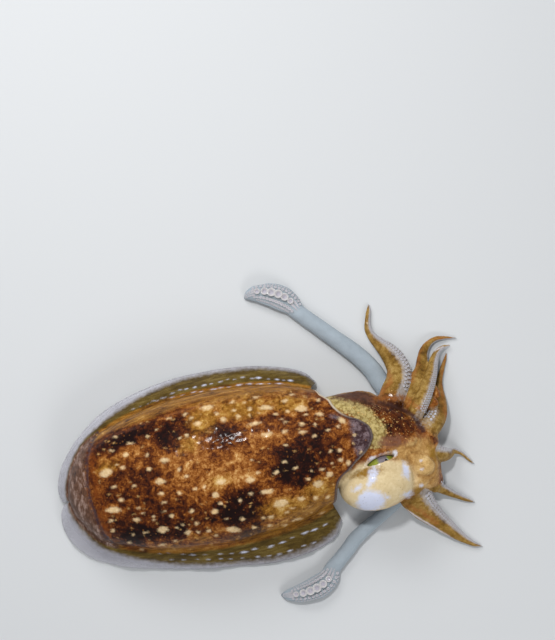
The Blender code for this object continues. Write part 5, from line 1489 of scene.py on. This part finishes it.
def camera():
    data = bpy.data.cameras.new("view")
    data.lens = LENS
    data.clip_start = 0.05
    made = bpy.data.objects.new("view", data)
    bpy.context.scene.collection.objects.link(made)
    place, aim = Vector(CAMERA_PLACE) * MM, Vector(CAMERA_AIM) * MM
    lean = radians(PICTURE_LEAN)
    back = (place - aim).normalized()
    right = Vector((cos(lean), -sin(lean), 0))
    up = back.cross(right).normalized()
    right = up.cross(back)
    made.matrix_world = Matrix.Translation(place) @ Matrix((right, up, back)).transposed().to_4x4()
    bpy.context.scene.camera = made


def area_light(name, place, size, power, mirrored=False, target=(60, 0, 20)):
    """A soft light, or where mirrored, one that only shows as its reflection in what is wet."""
    data = bpy.data.lights.new(name, "AREA")
    data.shape = "RECTANGLE"
    data.size, data.size_y = size[0] * MM, size[1] * MM
    data.energy = power
    made = bpy.data.objects.new(name, data)
    made.visible_glossy = mirrored
    made.visible_diffuse = not mirrored
    bpy.context.scene.collection.objects.link(made)
    place, target = Vector(place) * MM, Vector(target) * MM
    facing = (place - target).to_track_quat("Z", "Y").to_matrix().to_4x4()
    made.matrix_world = Matrix.Translation(place) @ facing


def surroundings():
    """A plain pale floor, a soft sky of even light, three soft lights and the glint of one of them."""
    corners = [(-1, -1), (1, -1), (1, 1), (-1, 1)]
    floor = mesh_object("floor", [(FLOOR_REACH * x, FLOOR_REACH * y, -FLOOR_GAP) for x, y in corners],
                        [(0, 1, 2, 3)])
    paper = bpy.data.materials.new("floor_paper")
    paper.use_nodes = True
    shader = paper.node_tree.nodes["Principled BSDF"]
    shader.inputs["Base Color"].default_value = FLOOR_COLOUR
    shader.inputs["Roughness"].default_value = 0.8
    floor.data.materials.append(paper)
    world = bpy.data.worlds.new("soft_sky")
    world.use_nodes = True
    sky = world.node_tree.nodes["Background"]
    sky.inputs["Color"].default_value = SKY_COLOUR
    sky.inputs["Strength"].default_value = SKY_STRENGTH
    bpy.context.scene.world = world
    area_light("key", (0, 650, 1450), (150, 130), 11)
    area_light("glint", (0, 650, 1450), (170, 150), 9, mirrored=True)
    area_light("left_fill", (-300, 1300, 1000), (900, 500), 12)
    area_light("right_fill", (500, -1300, 1000), (900, 500), 9)


def dress(piece, material, slot, *nodes):
    """Gives a finished piece its finish and its body, and hides the solids that it stands for; slot is not
    used.
    """
    if material:
        piece.data.materials.clear()
        piece.data.materials.append(material)
    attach(piece, "root")
    if nodes:
        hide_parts(*nodes)


camera()
surroundings()

body = body_skin()
mantle_finish = finish("mantle_finish", mantle_colours, bump=0.3)
dress(body, mantle_finish, "mantle_skin", "mantle", "fin_left", "fin_right")

skull = head_skin()
skull_surface = surface_of(skull)
head_masks(skull)
dress(skull, finish("head_finish", head_colours, bump=0.28), "head_skin", "head", *ARMS)

eye_finish = finish("eye_finish", eye_colours, roughness=0.15, coat=1.0, coat_roughness=0.03, bump=0.05)
for side, values in EYES.items():
    dress(eye_ball(side, values), eye_finish, "eye", f"eye_{side}")

sucker_finish = finish("sucker_finish", sucker_colours, roughness=0.3, bump=0.2)
small_cup = cup_template("small_cup", 10, SMALL_CUP)
large_cup = cup_template("large_cup", 28, LARGE_CUP)
rows_tree = sucker_tree()
pieces = []
for side in ("left", "right"):
    places = [place for name in ARMS if side in name for place in arm_sucker_places(name, skull_surface)]
    pieces.append((sucker_piece(f"arm_suckers_{side}", places, small_cup, 3, sucker_finish), "arm_skin"))

tentacle_finish = finish("tentacle_finish", plain_flesh("steel", 8.0, 0.3), bump=0.2)
for side in STALKS:
    stalk = tentacle_skin(side)
    large, small = club_sucker_places(side, surface_of(stalk))
    dress(stalk, tentacle_finish, "tentacle_skin", f"tentacle_{side}_base", f"tentacle_{side}_stalk",
          f"club_{side}")
    for size, places, cup, seed in (("large", large, large_cup, 5), ("small", small, small_cup, 6)):
        made = sucker_piece(f"club_{side}_{size}_suckers", places, cup, seed, sucker_finish)
        pieces.append((made, "tentacle_skin"))
remove(small_cup, large_cup)
for piece, slot in pieces:
    dress(piece, None, slot)

funnel_finish = finish("funnel_finish", plain_flesh("blossom", 5.0, 0.3), bump=0.2)
dress(funnel_skin(), funnel_finish, "pale_flesh", "funnel")
# the mouth's flesh colour is darkened as painted shade, for the shade it lies in between the arms' roots
mouth_finish = finish("mouth_finish", plain_flesh("membrane", 3.0, 0.4), bump=0.3)
dress(mouth_skin(), mouth_finish, "pale_flesh", "mouth")

scene = bpy.context.scene
scene.view_settings.view_transform = "Standard"
